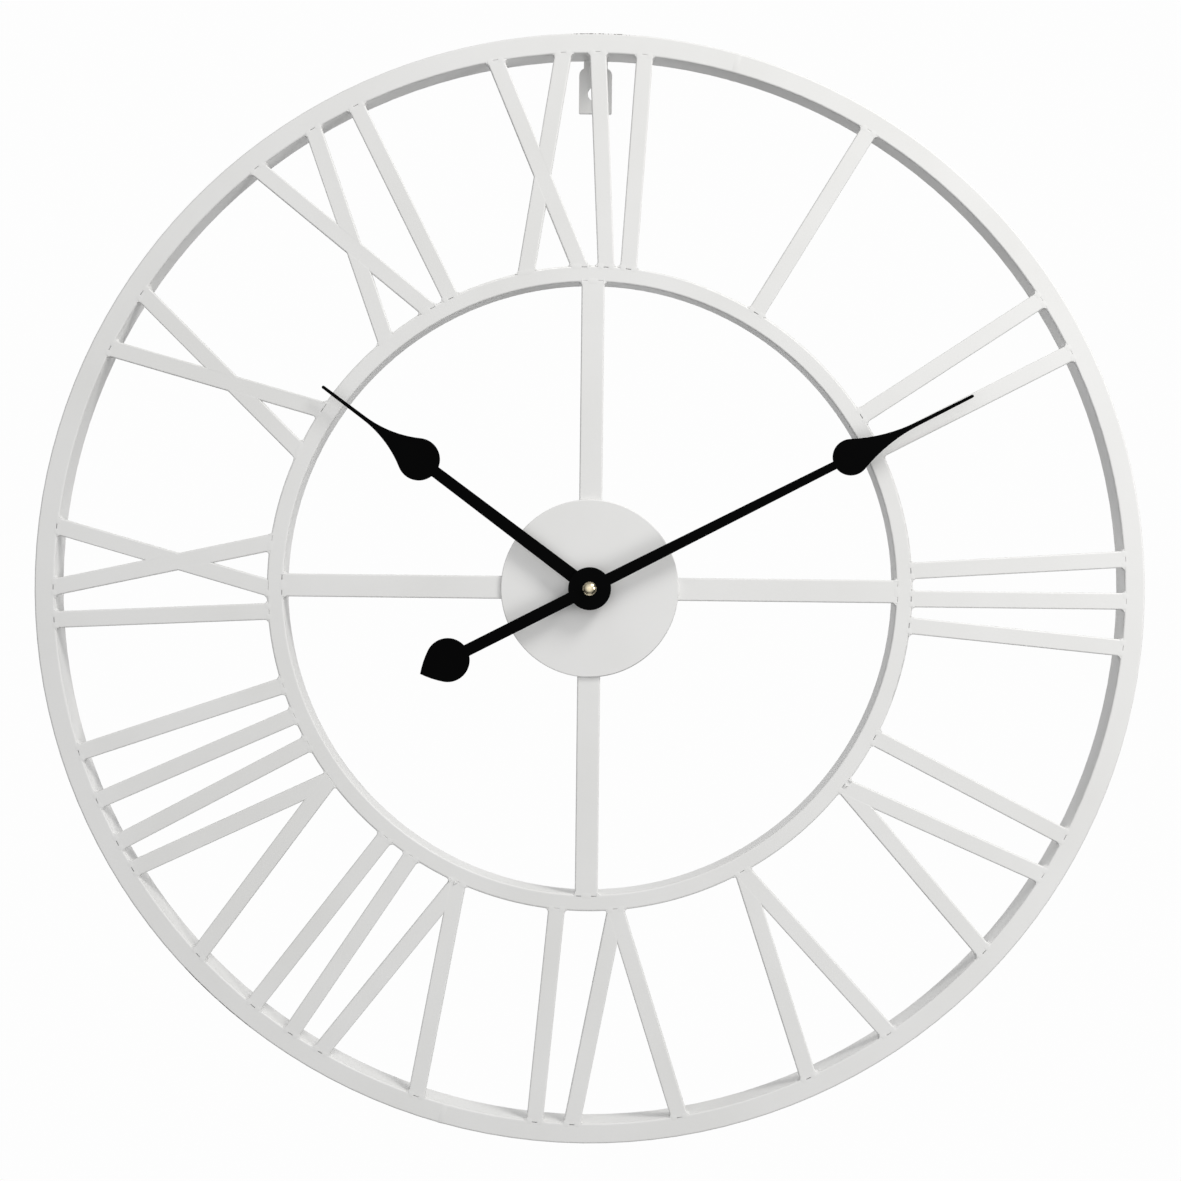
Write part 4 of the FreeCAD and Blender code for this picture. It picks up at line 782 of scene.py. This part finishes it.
@dataclass
class WeldBeads:
    """Fillet welds under the coat, at every foot of a bar and round the spokes' inner ends."""

    dial: Dial
    leg: float = 1.7 * MM
    sink: float = 0.5 * MM
    hollow: float = 0.24
    ripple: float = 0.07
    ripple_pitch: float = 1.3 * MM
    straight_steps: int = 7
    corner_steps: int = 6
    profile_steps: int = 6
    pad_half: float = 1.8 * MM
    pad_rise: float = 0.09 * MM
    pad_edge: float = 0.02 * MM
    pad_steps: int = 13
    pad_columns: int = 9
    pad_share: float = 0.95
    ring_corner: float = 1.0 * MM
    front_margin: float = 0.7 * MM
    rim_margin: float = 1.5 * MM
    spoke_corner: float = 0.6 * MM
    least_corner: float = 0.2 * MM
    touch: float = 0.03 * MM
    widest_gap: float = math.radians(0.45)

    def joints(self, node: str, radius: float, side: float) -> list[Joint]:
        """Find where a node's bars stand on a ring's wall.

        The triangles that touch the wall along a bar's side give the way that side leaves it, as
        the normal turned by a quarter towards the bar.

        Args:
            node: the numeral or spoke.
            radius: radius of the wall.
            side: -1 where the bar lies inside the wall, +1 where it lies outside.

        Returns:
            One joint for each foot.
        """
        dial = self.dial
        points = node_points(node)
        points = points[np.abs(dial.radii(points, dial.centre) - radius) < self.touch]
        if not len(points):
            return []
        turns = dial.bearings(points)
        if np.ptp(turns) > math.pi:
            turns = np.where(turns > math.pi, turns - 2.0 * math.pi, turns)
        order = np.argsort(turns)
        turns, depths = turns[order], points[order, 1]
        splits = np.flatnonzero(np.diff(turns) > self.widest_gap * dial.outer_inside / radius) + 1
        found = []
        for part, depth in zip(np.split(turns, splits), np.split(depths, splits)):
            back = depth.max()
            at_back = part[depth > back - self.touch]
            corner = max((at_back.min() - part.min()) * radius, self.least_corner)
            leave = [self.leaving(node, radius, side, edge) for edge in (part.min(), part.max())]
            found.append(
                Joint(radius, side, part.min(), part.max(), depth.min(), back, corner, leave[0], leave[1])
            )
        return found

    def leaving(self, node: str, radius: float, side: float, edge: float) -> np.ndarray:
        """Direction in which the bar's side leaves the wall.

        Args:
            node: the numeral or spoke.
            radius: radius of the wall.
            side: -1 or +1, as for joints.
            edge: bearing of the side, in radians.

        Returns:
            A unit vector across the dial.
        """
        dial = self.dial
        places, normals = node_triangles(node)
        flat = places.reshape(-1, 3)
        near = (np.abs(dial.radii(flat, dial.centre) - radius) < self.touch).reshape(-1, 3)
        turns = dial.bearings(flat).reshape(-1, 3)
        apart = np.abs(np.mod(turns - edge + math.pi, 2.0 * math.pi) - math.pi)
        touching = (near & (apart * radius < 4.0 * self.touch)).any(axis=1)
        outward = dial.ways(edge)[0] * side
        upright = (np.abs(normals[:, 1]) < 0.1) & (np.abs(normals @ outward) < 0.6)
        chosen = normals[touching & upright]
        if not len(chosen):
            return outward
        normal = chosen.mean(axis=0)
        leave = np.array((normal[2], 0.0, -normal[0]))
        leave *= np.sign(leave @ outward)
        return leave / np.linalg.norm(leave)

    def round_end(
        self, sides: tuple[float, float], start: float, end: float, corner: float, steps: int
    ) -> tuple[np.ndarray, np.ndarray, np.ndarray]:
        """Half a rounded rectangle: along one side, round the end and back along the other side.

        Args:
            sides: where the two sides run.
            start: where they begin.
            end: where the end lies.
            corner: radius of the two corners, drawn as quarter circles.
            steps: points on each side.

        Returns:
            Places across and along the sides, and the angle turned, from 0 to a half turn.
        """
        sign = 1.0 if end > start else -1.0
        quarter = np.linspace(0.0, math.pi / 2, self.corner_steps)[1:-1]
        side = np.linspace(start, end - sign * corner, steps)
        back = np.linspace(sides[0] + corner, sides[1] - corner, 2 * self.straight_steps)
        round_u = sides[0] + corner * (1.0 - np.cos(quarter))
        round_v = end - sign * corner * (1.0 - np.sin(quarter))
        first, last = np.full_like(side, sides[0]), np.full_like(side, sides[1])
        u = np.concatenate((first, round_u, back, (sides[0] + sides[1] - round_u)[::-1], last))
        v = np.concatenate((side, round_v, np.full_like(back, end), round_v[::-1], side[::-1]))
        middle = np.full_like(back, math.pi / 2)
        turns = (np.zeros_like(side), quarter, middle, quarter + math.pi / 2, np.full_like(side, math.pi))
        return u, v, np.concatenate(turns)

    def foot_path(self, joint: Joint) -> tuple[np.ndarray, np.ndarray, np.ndarray]:
        """Path of a bead: down one side, round the back and up the other side.

        The path is half a rounded rectangle drawn on the wall, in arc length and depth; the way
        away from the bar turns with its corners.

        Args:
            joint: the foot.

        Returns:
            Places on the wall, the way away from the bar and the way along it, one row each.
        """
        first, last = joint.first * joint.radius, joint.last * joint.radius
        start = joint.front - self.front_margin
        u, y, turn = self.round_end((first, last), start, joint.back, joint.corner, self.straight_steps)
        outward, clockwise = self.dial.ways(u / joint.radius)
        inward_y = np.array((0.0, 1.0, 0.0))
        away = -np.cos(turn)[:, None] * clockwise + np.sin(turn)[:, None] * inward_y
        share = ((u - first) / (last - first))[:, None]
        along = (1.0 - share) * joint.leave_first + share * joint.leave_last
        places = self.dial.centre + outward * joint.radius
        places[:, 1] = y
        return places, away, along

    def bead(self, places: np.ndarray, away: np.ndarray, along: np.ndarray, seed: float) -> np.ndarray:
        """Surface of one bead.

        Each cross-section is a hollow fillet, a quadratic curve from one leg's length out on the
        wall to one leg's length along the bar, closed by points sunk into both. The leg swells
        and ripples along the path and tapers at its two ends.

        Args:
            places: the path, one row each.
            away: way off the bar at each place.
            along: way along the bar at each place.
            seed: shifts the ripples.

        Returns:
            Grid shaped (path, profile, 3).
        """
        steps = np.linalg.norm(np.diff(places, axis=0), axis=1)
        walk = np.concatenate(((0.0,), np.cumsum(steps)))
        swell = 0.14 * np.sin(walk / (3.1 * self.ripple_pitch) + 7.0 * seed)
        ripple = self.ripple * np.sin(2.0 * math.pi * walk / self.ripple_pitch + 13.0 * seed)
        taper = np.clip(np.minimum(walk, walk[-1] - walk) / (0.6 * self.leg), 0.0, 1.0)
        leg = (self.leg * (1.0 + swell + ripple) * (0.55 + 0.45 * taper))[:, None, None]
        t = np.linspace(0.0, 1.0, self.profile_steps)[None, :, None]
        a, b, p = away[:, None, :], along[:, None, :], places[:, None, :]
        curve = p + leg * ((1 - t) ** 2 * a + 2 * t * (1 - t) * self.hollow * (a + b) + t**2 * b)
        foot = p + leg * a - self.sink * b
        root = p - self.sink * (a + b)
        top = p + leg * b - self.sink * a
        return np.concatenate((foot, curve, top, root), axis=1)

    def dressed_front(self, joint: Joint) -> np.ndarray:
        """Weld ground nearly flat over the front of a foot.

        The pad reaches from the bar's face over the seam to the ring's face. Its height above the
        front plane is a parabola across the seam, times one less the fourth power of the share
        along the foot, less a margin that sinks its edges under the coat.

        Args:
            joint: the foot.

        Returns:
            Grid shaped (path, profile, 3).
        """
        share = np.linspace(-1.0, 1.0, self.pad_steps)
        across = np.linspace(-1.0, 1.0, self.pad_columns)
        bearing = (joint.first + joint.last + self.pad_share * share * (joint.last - joint.first)) / 2
        outward, _ = self.dial.ways(bearing)
        blend = ((share + 1.0) / 2)[:, None]
        along = (1.0 - blend) * joint.leave_first + blend * joint.leave_last
        base = self.dial.centre + outward * joint.radius
        base[:, 1] = self.dial.front
        reach = self.pad_half * across - self.ring_corner / 2
        rise = self.pad_rise * (1.0 - share**4)[:, None] * (1.0 - across**2)[None, :] - self.pad_edge
        front = base[:, None, :] + along[:, None, :] * reach[None, :, None]
        front[:, :, 1] -= rise
        under = front[:, [-1, 0], :].copy()
        under[:, :, 1] = self.dial.front + self.sink
        return np.concatenate((front, under), axis=1)

    def ring_seam(self, bearing: float) -> np.ndarray:
        """Ground weld where the two halves of the outer ring meet.

        The path follows the tube's section from the back up the inside wall, round the front and
        down the outside wall. Across it, along the ring, the height is a parabola less a margin.

        Args:
            bearing: bearing of the seam in degrees.

        Returns:
            Grid shaped (path, profile, 3).
        """
        dial, corner = self.dial, self.ring_corner
        outward, clockwise = dial.ways(math.radians(bearing))
        quarter = np.linspace(0.0, math.pi / 2, self.corner_steps)
        wall_y = np.linspace(-self.sink, dial.front + corner, 2 * self.straight_steps)[:-1]
        flat = np.ones_like(wall_y)
        radius = np.concatenate(
            (flat * dial.outer_inside, dial.outer_inside + corner * (1.0 - np.cos(quarter)),
             dial.outer_radius - corner * (1.0 - np.sin(quarter)), flat * dial.outer_radius)
        )
        depth = np.concatenate(
            (wall_y, dial.front + corner * (1.0 - np.sin(quarter)),
             dial.front + corner * (1.0 - np.cos(quarter)), wall_y[::-1])
        )
        lift_out = np.concatenate((-flat, -np.cos(quarter), np.sin(quarter), flat))[:, None]
        lift_y = np.concatenate((0.0 * flat, -np.sin(quarter), -np.cos(quarter), 0.0 * flat))[:, None]
        across = np.concatenate((np.linspace(-1.0, 1.0, self.pad_columns), (1.0, -1.0)))
        rise = self.pad_rise * (1.0 - across**2) - self.pad_edge
        rise[-2:] = -self.sink
        places = dial.centre + outward * (radius[:, None] + lift_out * rise)[:, :, None]
        places = places + clockwise * (across * self.pad_half)[None, :, None]
        places[:, :, 1] = depth[:, None] + lift_y * rise
        return places

    def feet(self, node: str, walls: list[tuple[float, float]]) -> Shell:
        """Beads and dressed fronts of one node at the walls that it stands on."""
        shell = Shell.empty()
        for radius, side in walls:
            for joint in self.joints(node, radius, side):
                shell.add_grid(self.bead(*self.foot_path(joint), seed=joint.first))
                shell.add_grid(self.dressed_front(joint))
        return shell

    def spoke_end(self, node: str, bearing: float) -> np.ndarray:
        """Bead round a spoke's inner end on the back of the centre plate.

        The path is a U in the plate's plane: up one side of the spoke, round its end in two
        quarter circles and down the other side.

        Args:
            node: the spoke.
            bearing: its bearing in degrees.

        Returns:
            Grid shaped (path, profile, 3).
        """
        turn = math.radians(bearing)
        outward, clockwise = self.dial.ways(turn)
        points = node_points(node) - self.dial.centre
        half = np.abs(points @ clockwise).max()
        end = (points @ outward).min()
        low, high = np.asarray(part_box("centre_disc"))
        rim = (high[0] - low[0]) / 2
        start = rim - self.rim_margin
        u, v, angle = self.round_end((-half, half), start, end, self.spoke_corner, 2 * self.straight_steps)
        places = self.dial.centre + u[:, None] * clockwise + v[:, None] * outward
        places[:, 1] = high[1]
        away = -np.cos(angle)[:, None] * clockwise - np.sin(angle)[:, None] * outward
        along = np.tile((0.0, 1.0, 0.0), (len(places), 1))
        return self.bead(places, away, along, seed=turn)

    def hanger_seam(self) -> np.ndarray:
        """Bead across the hanging plate's neck, in the corner between its face and the ring."""
        low, high = np.asarray(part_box("hanger_plate"))
        points = node_points("hanger_plate")
        neck = points[self.dial.radii(points, self.dial.centre) > self.dial.outer_inside - self.touch]
        x = np.linspace(neck[:, 0].min(), neck[:, 0].max(), 4 * self.straight_steps)
        reach = self.dial.outer_inside
        drop = np.sqrt(reach**2 - (x - self.dial.centre[0]) ** 2)
        places = np.stack((x, np.full_like(x, low[1]), self.dial.centre[2] + drop), axis=1)
        away = np.tile((0.0, 0.0, -1.0), (len(x), 1))
        along = np.tile((0.0, -1.0, 0.0), (len(x), 1))
        return self.bead(places, away, along, seed=0.4)


@dataclass
class WeldedFrame:
    """Rings, numerals, spokes, centre plate and hanging plate with their coat and welds."""

    dial: Dial
    hours: int = 12
    ring_seams: tuple[float, float] = (15.0, 195.0)
    spokes: tuple[tuple[str, float], ...] = (
        ("spoke_twelve", 0.0),
        ("spoke_three", 90.0),
        ("spoke_six", 180.0),
        ("spoke_nine", 270.0),
    )

    def build(self) -> None:
        """Coat every piece of the frame and lay the weld beads."""
        coat = PowderCoat().material(self.dial)
        bead_coat = PowderCoat("white_powder_coat_on_welds", edge_radius=0.05 * MM).material(self.dial)
        numerals = [f"numeral_{hour:02d}" for hour in range(1, self.hours + 1)]
        names = [name for name, _ in self.spokes]
        dress(coat, *OUTER_RING, "inner_ring", "centre_disc", "hanger_plate", *names, *numerals)
        beads = WeldBeads(self.dial)
        walls = [(self.dial.outer_inside, -1.0), (self.dial.inner_outside, 1.0)]
        for name in numerals:
            beads.feet(name, walls).piece(f"welds_{name}", bead_coat, Body.FRAME, Slot.COAT)
        for name, bearing in self.spokes:
            shell = beads.feet(name, [(self.dial.inner_inside, -1.0)])
            shell.add_grid(beads.spoke_end(name, bearing))
            shell.piece(f"welds_{name}", bead_coat, Body.FRAME, Slot.COAT)
        shell = Shell.empty()
        shell.add_grid(beads.hanger_seam())
        for bearing in self.ring_seams:
            shell.add_grid(beads.ring_seam(bearing))
        shell.piece("welds_outer_ring", bead_coat, Body.FRAME, Slot.COAT)


# ---------------------------------------------------------------- hands and movement


@dataclass
class HandSet:
    """Both hands, their collets and the cap nut."""

    dial: Dial
    thread_pitch: float = 0.5 * MM
    thread_height: float = 0.13 * MM
    thread_steps: int = 160

    def build(self) -> None:
        """Dress the hands and the brass."""
        dress(HandPaint().material(), "hour_hand", "minute_hand")
        brass = Metal("turned_brass", (0.80, 0.56, 0.24, 1.0), (0.55, 0.36, 0.15, 1.0), 0.24)
        polished = Metal("polished_brass", (0.90, 0.80, 0.58, 1.0), (0.80, 0.66, 0.42, 1.0), 0.16)
        brass_material = brass.material(self.dial)
        collets = ("hour_collet", "minute_collet", "minute_arbor")
        dress(brass_material, *collets, "dial_nut", "dial_washer", "threaded_bushing")
        dress(polished.material(self.dial), "cap_nut")
        self.thread().piece("bushing_thread", brass_material, Body.FRAME, Slot.BRASS)

    def thread(self) -> Shell:
        """Thread on the bushing in front of the dial nut.

        A triangular ridge is carried along a helix: at turn angle w its middle stands at depth
        start + pitch * w / full turn, and it fades out over the first and last third of a turn.
        """
        low, high = np.asarray(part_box("threaded_bushing"))
        nut_low, _ = np.asarray(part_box("dial_nut"))
        points = node_points("threaded_bushing")
        tip = points[points[:, 1] < low[1] + 0.1 * MM]
        radius = self.dial.radii(tip, self.dial.centre).max()
        pitch, height = self.thread_pitch, self.thread_height
        start, end = low[1] + 0.3 * pitch, nut_low[1] - 0.3 * pitch
        w = np.linspace(0.0, 2.0 * math.pi * (end - start) / pitch, self.thread_steps)
        fade = np.clip(np.minimum(w, w[-1] - w) / (2.0 * math.pi / 3.0), 0.02, 1.0)
        outward, _ = self.dial.ways(w)
        middle = start + pitch * w / (2.0 * math.pi)
        rows = []
        for reach, shift in ((-0.3, -0.45), (0.0, -0.45), (1.0, -0.08), (1.0, 0.08), (0.0, 0.45), (-0.3, 0.45)):
            rise = radius + height * np.where(reach > 0.0, reach * fade, reach)
            row = self.dial.centre + outward * rise[:, None]
            row[:, 1] = middle + shift * pitch
            rows.append(row)
        shell = Shell.empty()
        shell.add_grid(np.stack(rows, axis=1))
        return shell


@dataclass
class Movement:
    """Quartz movement with its mouldings, cell, wheels, coil and board."""

    dial: Dial
    ridge_width: float = 1.1 * MM
    ridge_height: float = 0.35 * MM
    mark_length: float = 4.6 * MM
    mark_inset: float = 3.2 * MM
    collar_gap: float = 2.6 * MM
    collar_angles: tuple[float, float] = (50.0, 310.0)
    arrow_length: float = 2.2 * MM
    arrow_leans: tuple[float, float] = (100.0, 190.0)
    cover_inset: float = 2.6 * MM
    knob_inset: float = 2.4 * MM
    knob_bar: float = 1.4 * MM

    def build(self) -> None:
        """Dress every part of the movement and mould its marks."""
        black = Moulded("black_case_plastic", (0.010, 0.010, 0.011, 1.0), (0.06, 0.06, 0.06, 1.0), 0.46)
        white = Moulded("white_wheel_plastic", (0.78, 0.77, 0.72, 1.0), (0.86, 0.85, 0.81, 1.0), 0.36, dust_share=0.0)
        rubber = Moulded("gasket_rubber", (0.012, 0.012, 0.012, 1.0), (0.05, 0.05, 0.05, 1.0), 0.78, 2600.0)
        resin = Moulded("chip_resin", (0.008, 0.008, 0.009, 1.0), (0.03, 0.03, 0.03, 1.0), 0.22, 1500.0)
        nickel = Metal("contact_nickel", (0.62, 0.60, 0.56, 1.0), (0.45, 0.43, 0.40, 1.0), 0.30, 3000.0)
        steel = Metal("magnet_steel", (0.30, 0.30, 0.31, 1.0), (0.16, 0.15, 0.15, 1.0), 0.38, 5000.0)
        case = black.material()
        dress(case, "movement_case", "movement_cover", "setting_knob")
        wheels = ("hour_wheel", "minute_wheel", "centre_wheel", "third_wheel", "seconds_wheel", "intermediate_wheel")
        finishes = (
            (white.material(), (*wheels, "rotor_pinion", "train_bridge", "coil_bobbin")),
            (rubber.material(), ("case_gasket",)),
            (resin.material(), ("clock_chip",)),
            (nickel.material(self.dial), ("contact_positive", "contact_negative", "quartz_crystal")),
            (steel.material(self.dial), ("rotor_magnet", "stator", "coil_core")),
            (CellJacket().material(), ("battery",)),
            (CoilWire().material(), ("coil_winding",)),
            (BoardLaminate().material(), ("circuit_board",)),
        )
        for material, nodes in finishes:
            dress(material, *nodes)
        self.cover_mouldings().piece("cover_mouldings", case, Body.FRAME, Slot.CASE)
        self.knob_arrow().piece("knob_arrow", case, Body.KNOB, Slot.CASE)

    def ridge(self, path: np.ndarray, across: np.ndarray, base: float, width: float) -> np.ndarray:
        """Raised ridge along a path on a face that looks back.

        Each cross-section is a low trapezium: wide at its sunk foot, two thirds as wide on top.

        Args:
            path: places across the dial, shaped (steps, 2), as x and z.
            across: unit side vectors of the path, shaped the same.
            base: depth of the face.
            width: width of the foot.

        Returns:
            Grid shaped (steps, 4, 3).
        """
        rows = []
        for share, rise in ((-0.5, -0.2), (-0.33, 1.0), (0.33, 1.0), (0.5, -0.2)):
            flat = path + across * share * width
            depth = np.full(len(path), base + rise * self.ridge_height)
            rows.append(np.stack((flat[:, 0], depth, flat[:, 1]), axis=1))
        return np.stack(rows, axis=1)

    def straight(self, start: tuple[float, float], end: tuple[float, float], base: float, width: float) -> np.ndarray:
        """Ridge between two places, given as x and z."""
        ends = np.array((start, end))
        run = (ends[1] - ends[0]) / np.linalg.norm(ends[1] - ends[0])
        across = np.tile((-run[1], run[0]), (2, 1))
        return self.ridge(ends, across, base, width)

    def arc(self, centre: tuple[float, float], radius: float, angles: tuple[float, float], base: float) -> np.ndarray:
        """Ridge along part of a circle, its angles counted from +x towards +z in degrees."""
        turn = np.radians(np.linspace(*angles, 40))
        across = np.stack((np.cos(turn), np.sin(turn)), axis=1)
        return self.ridge(np.array(centre) + radius * across, across, base, self.ridge_width)

    @staticmethod
    def step(start: tuple[float, float], reach: float, angle: float) -> tuple[float, float]:
        """Place at a distance from another, at an angle from +x towards +z in degrees."""
        turn = math.radians(angle)
        return start[0] + reach * math.cos(turn), start[1] + reach * math.sin(turn)

    def cover_mouldings(self) -> Shell:
        """Marks on the back of the movement: a collar and turning arrow round the knob, and poles."""
        shell = Shell.empty()
        low, high = np.asarray(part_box("movement_cover"))
        knob_low, knob_high = np.asarray(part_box("setting_knob"))
        knob = ((knob_low[0] + knob_high[0]) / 2, (knob_low[2] + knob_high[2]) / 2)
        reach = (knob_high[0] - knob_low[0]) / 2
        back = high[1]
        collar = reach + self.collar_gap
        shell.add_grid(self.arc(knob, collar, self.collar_angles, back))
        tip = self.step(knob, collar, self.collar_angles[0])
        for lean in self.arrow_leans:
            end = self.step(tip, self.arrow_length, self.collar_angles[0] + lean)
            shell.add_grid(self.straight(tip, end, back, self.ridge_width))
        inset, half = self.cover_inset, self.mark_length / 2
        x0, x1, z0, z1 = low[0] + inset, high[0] - inset, low[2] + inset, high[2] - inset
        for start, end in (((x0, z1), (x1, z1)), ((x1, z1), (x1, z0)), ((x1, z0), (x0, z0)), ((x0, z0), (x0, z1))):
            shell.add_grid(self.straight(start, end, back, 0.6 * self.ridge_width))
        mark_z = z0 + inset + half
        plus, minus = x1 - self.mark_inset, x0 + self.mark_inset + half
        for start, end in (
            ((plus - half, mark_z), (plus + half, mark_z)),
            ((plus, mark_z - half), (plus, mark_z + half)),
            ((minus - half, mark_z), (minus + half, mark_z)),
        ):
            shell.add_grid(self.straight(start, end, back, self.ridge_width))
        return shell

    def knob_arrow(self) -> Shell:
        """Raised bar across the setting knob, for a finger tip."""
        low, high = np.asarray(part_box("setting_knob"))
        middle = (low[2] + high[2]) / 2
        base = high[1] - 0.05 * MM - 0.3 * self.ridge_height
        ends = (low[0] + self.knob_inset, middle), (high[0] - self.knob_inset, middle)
        shell = Shell.empty()
        shell.add_grid(self.straight(*ends, base, self.knob_bar))
        return shell


# ---------------------------------------------------------------- studio


@dataclass(frozen=True)
class Lamp:
    """One soft lamp: the way to it from the dial, how far, how large and how strong."""

    name: str
    way: tuple[float, float, float]
    distance: float
    size: float
    power: float
    colour: tuple[float, float, float] = (1.0, 0.99, 0.97)


@dataclass
class Studio:
    """Camera, lamps, surrounding light and floor."""

    dial: Dial
    distance: float = 1.150
    foot_right: float = 6.4 * MM
    foot_up: float = 19.2 * MM
    half_view: float = 0.2773
    roll: float = -0.65
    shift: tuple[float, float] = (-0.0097, -0.0318)
    lamps: tuple[Lamp, ...] = (
        Lamp("key_lamp", (11.0, -9.3, 15.6), 1.5, 0.5, 10.5),
        Lamp("side_lamp", (18.0, -9.3, 1.6), 1.6, 0.5, 5.0),
    )
    facing_light: float = 1.13
    upper_light: float = 0.28
    least_light: float = 0.02
    floor_drop: float = 1.3
    floor_radius: float = 1.0
    floor_rings: int = 12
    floor_sides: int = 96

    def build(self) -> None:
        """Set up the studio."""
        self.camera()
        for lamp in self.lamps:
            self.lamp(lamp)
        self.surroundings()
        self.floor()
        bpy.context.scene.view_settings.view_transform = "Standard"

    def camera(self) -> None:
        """Camera in front of the dial, square to it, turned a little about its own axis."""
        data = bpy.data.cameras.new("camera")
        data.sensor_fit = "HORIZONTAL"
        data.angle = 2.0 * math.atan(self.half_view)
        data.shift_x, data.shift_y = self.shift
        data.clip_start, data.clip_end = 0.01, 20.0
        camera = in_scene("camera", data)
        camera.location = (
            self.dial.centre[0] + self.foot_right,
            self.dial.front - self.distance,
            self.dial.centre[2] + self.foot_up,
        )
        camera.rotation_euler = (math.radians(90.0), math.radians(self.roll), 0.0)
        bpy.context.scene.camera = camera

    def lamp(self, lamp: Lamp) -> None:
        """Put up one lamp, turned towards the dial.

        Args:
            lamp: its place and strength.
        """
        data = bpy.data.lights.new(lamp.name, "AREA")
        data.shape = "DISK"
        data.size = lamp.size
        data.energy = lamp.power
        data.color = lamp.colour
        made = in_scene(lamp.name, data)
        way = np.array(lamp.way) / np.linalg.norm(lamp.way)
        target = self.dial.centre + np.array((0.0, self.dial.front, 0.0))
        made.location = target + way * lamp.distance
        made.rotation_euler = (Vector(target) - made.location).to_track_quat("-Z", "Y").to_euler()

    def surroundings(self) -> None:
        """Light from all round and a plain near-white backdrop.

        Its strength grows with the square of the way's y, so that both faces are lit alike, and
        with the way's height.
        """
        world = bpy.data.worlds.new("studio")
        world.use_nodes = True
        graph = Graph(world.node_tree)
        world.node_tree.nodes.clear()
        way = graph.node("ShaderNodeTexCoord").outputs["Generated"]
        _, y, z = graph.axes(way)
        level = graph.times(graph.times(y, y), self.facing_light)
        tone = graph.math("MAXIMUM", graph.scaled(z, self.upper_light, level), self.least_light)
        around = graph.node("ShaderNodeBackground", {"Color": (1.0, 1.0, 1.0, 1.0), "Strength": tone})
        backdrop = graph.node("ShaderNodeBackground", {"Color": (0.985, 0.985, 0.985, 1.0), "Strength": 1.0})
        seen = graph.node("ShaderNodeLightPath").outputs["Is Camera Ray"]
        chosen = graph.node("ShaderNodeMixShader", {0: seen, 1: around.outputs[0], 2: backdrop.outputs[0]})
        graph.node("ShaderNodeOutputWorld", {"Surface": chosen.outputs[0]})
        bpy.context.scene.world = world

    def floor(self) -> None:
        """Round pale floor below the clock, its places worked out as rings about the centre."""
        rings = np.linspace(0.0, self.floor_radius, self.floor_rings)[1:]
        turn = np.linspace(0.0, 2.0 * math.pi, self.floor_sides, endpoint=False)
        x = self.dial.centre[0] + rings[:, None] * np.sin(turn)
        y = rings[:, None] * np.cos(turn)
        level = self.dial.centre[2] - self.dial.outer_radius - self.floor_drop
        places = np.stack((x, y, np.full_like(x, level)), axis=-1)
        index = np.arange(places.shape[0] * places.shape[1]).reshape(places.shape[:2])
        beside = np.roll(index, -1, axis=1)
        quads = np.stack((index[:-1], index[1:], beside[1:], beside[:-1]), axis=-1).reshape(-1, 4)
        mesh = bpy.data.meshes.new("floor")
        mesh.from_pydata(places.reshape(-1, 3).tolist(), [], quads.tolist() + [index[0].tolist()])
        mesh.materials.append(self.floor_finish())
        made = in_scene("floor", mesh)

    def floor_finish(self) -> bpy.types.Material:
        """Pale matt floor that fades out towards its rim."""
        material, graph, shader = new_material("studio_floor")
        place = graph.place()
        speck = graph.noise(place, 300.0, 3.0)
        colour = graph.mix(speck, (0.80, 0.80, 0.80, 1.0), (0.84, 0.84, 0.84, 1.0))
        graph.fill(shader, Base_Color=colour)
        shader.inputs["Roughness"].default_value = 0.8
        x, y, _ = graph.axes(place)
        faded = graph.ramp(graph.length(x, y), self.floor_radius, 0.4 * self.floor_radius)
        graph.fill(shader, Alpha=faded)
        return material


def main() -> None:
    """Build the studio and every sub-assembly in order."""
    logging.basicConfig(level=logging.INFO, format="%(name)s: %(message)s")
    dial = Dial.measure()
    Studio(dial).build()
    WeldedFrame(dial).build()
    HandSet(dial).build()
    Movement(dial).build()


if __name__ == "__main__":
    main()
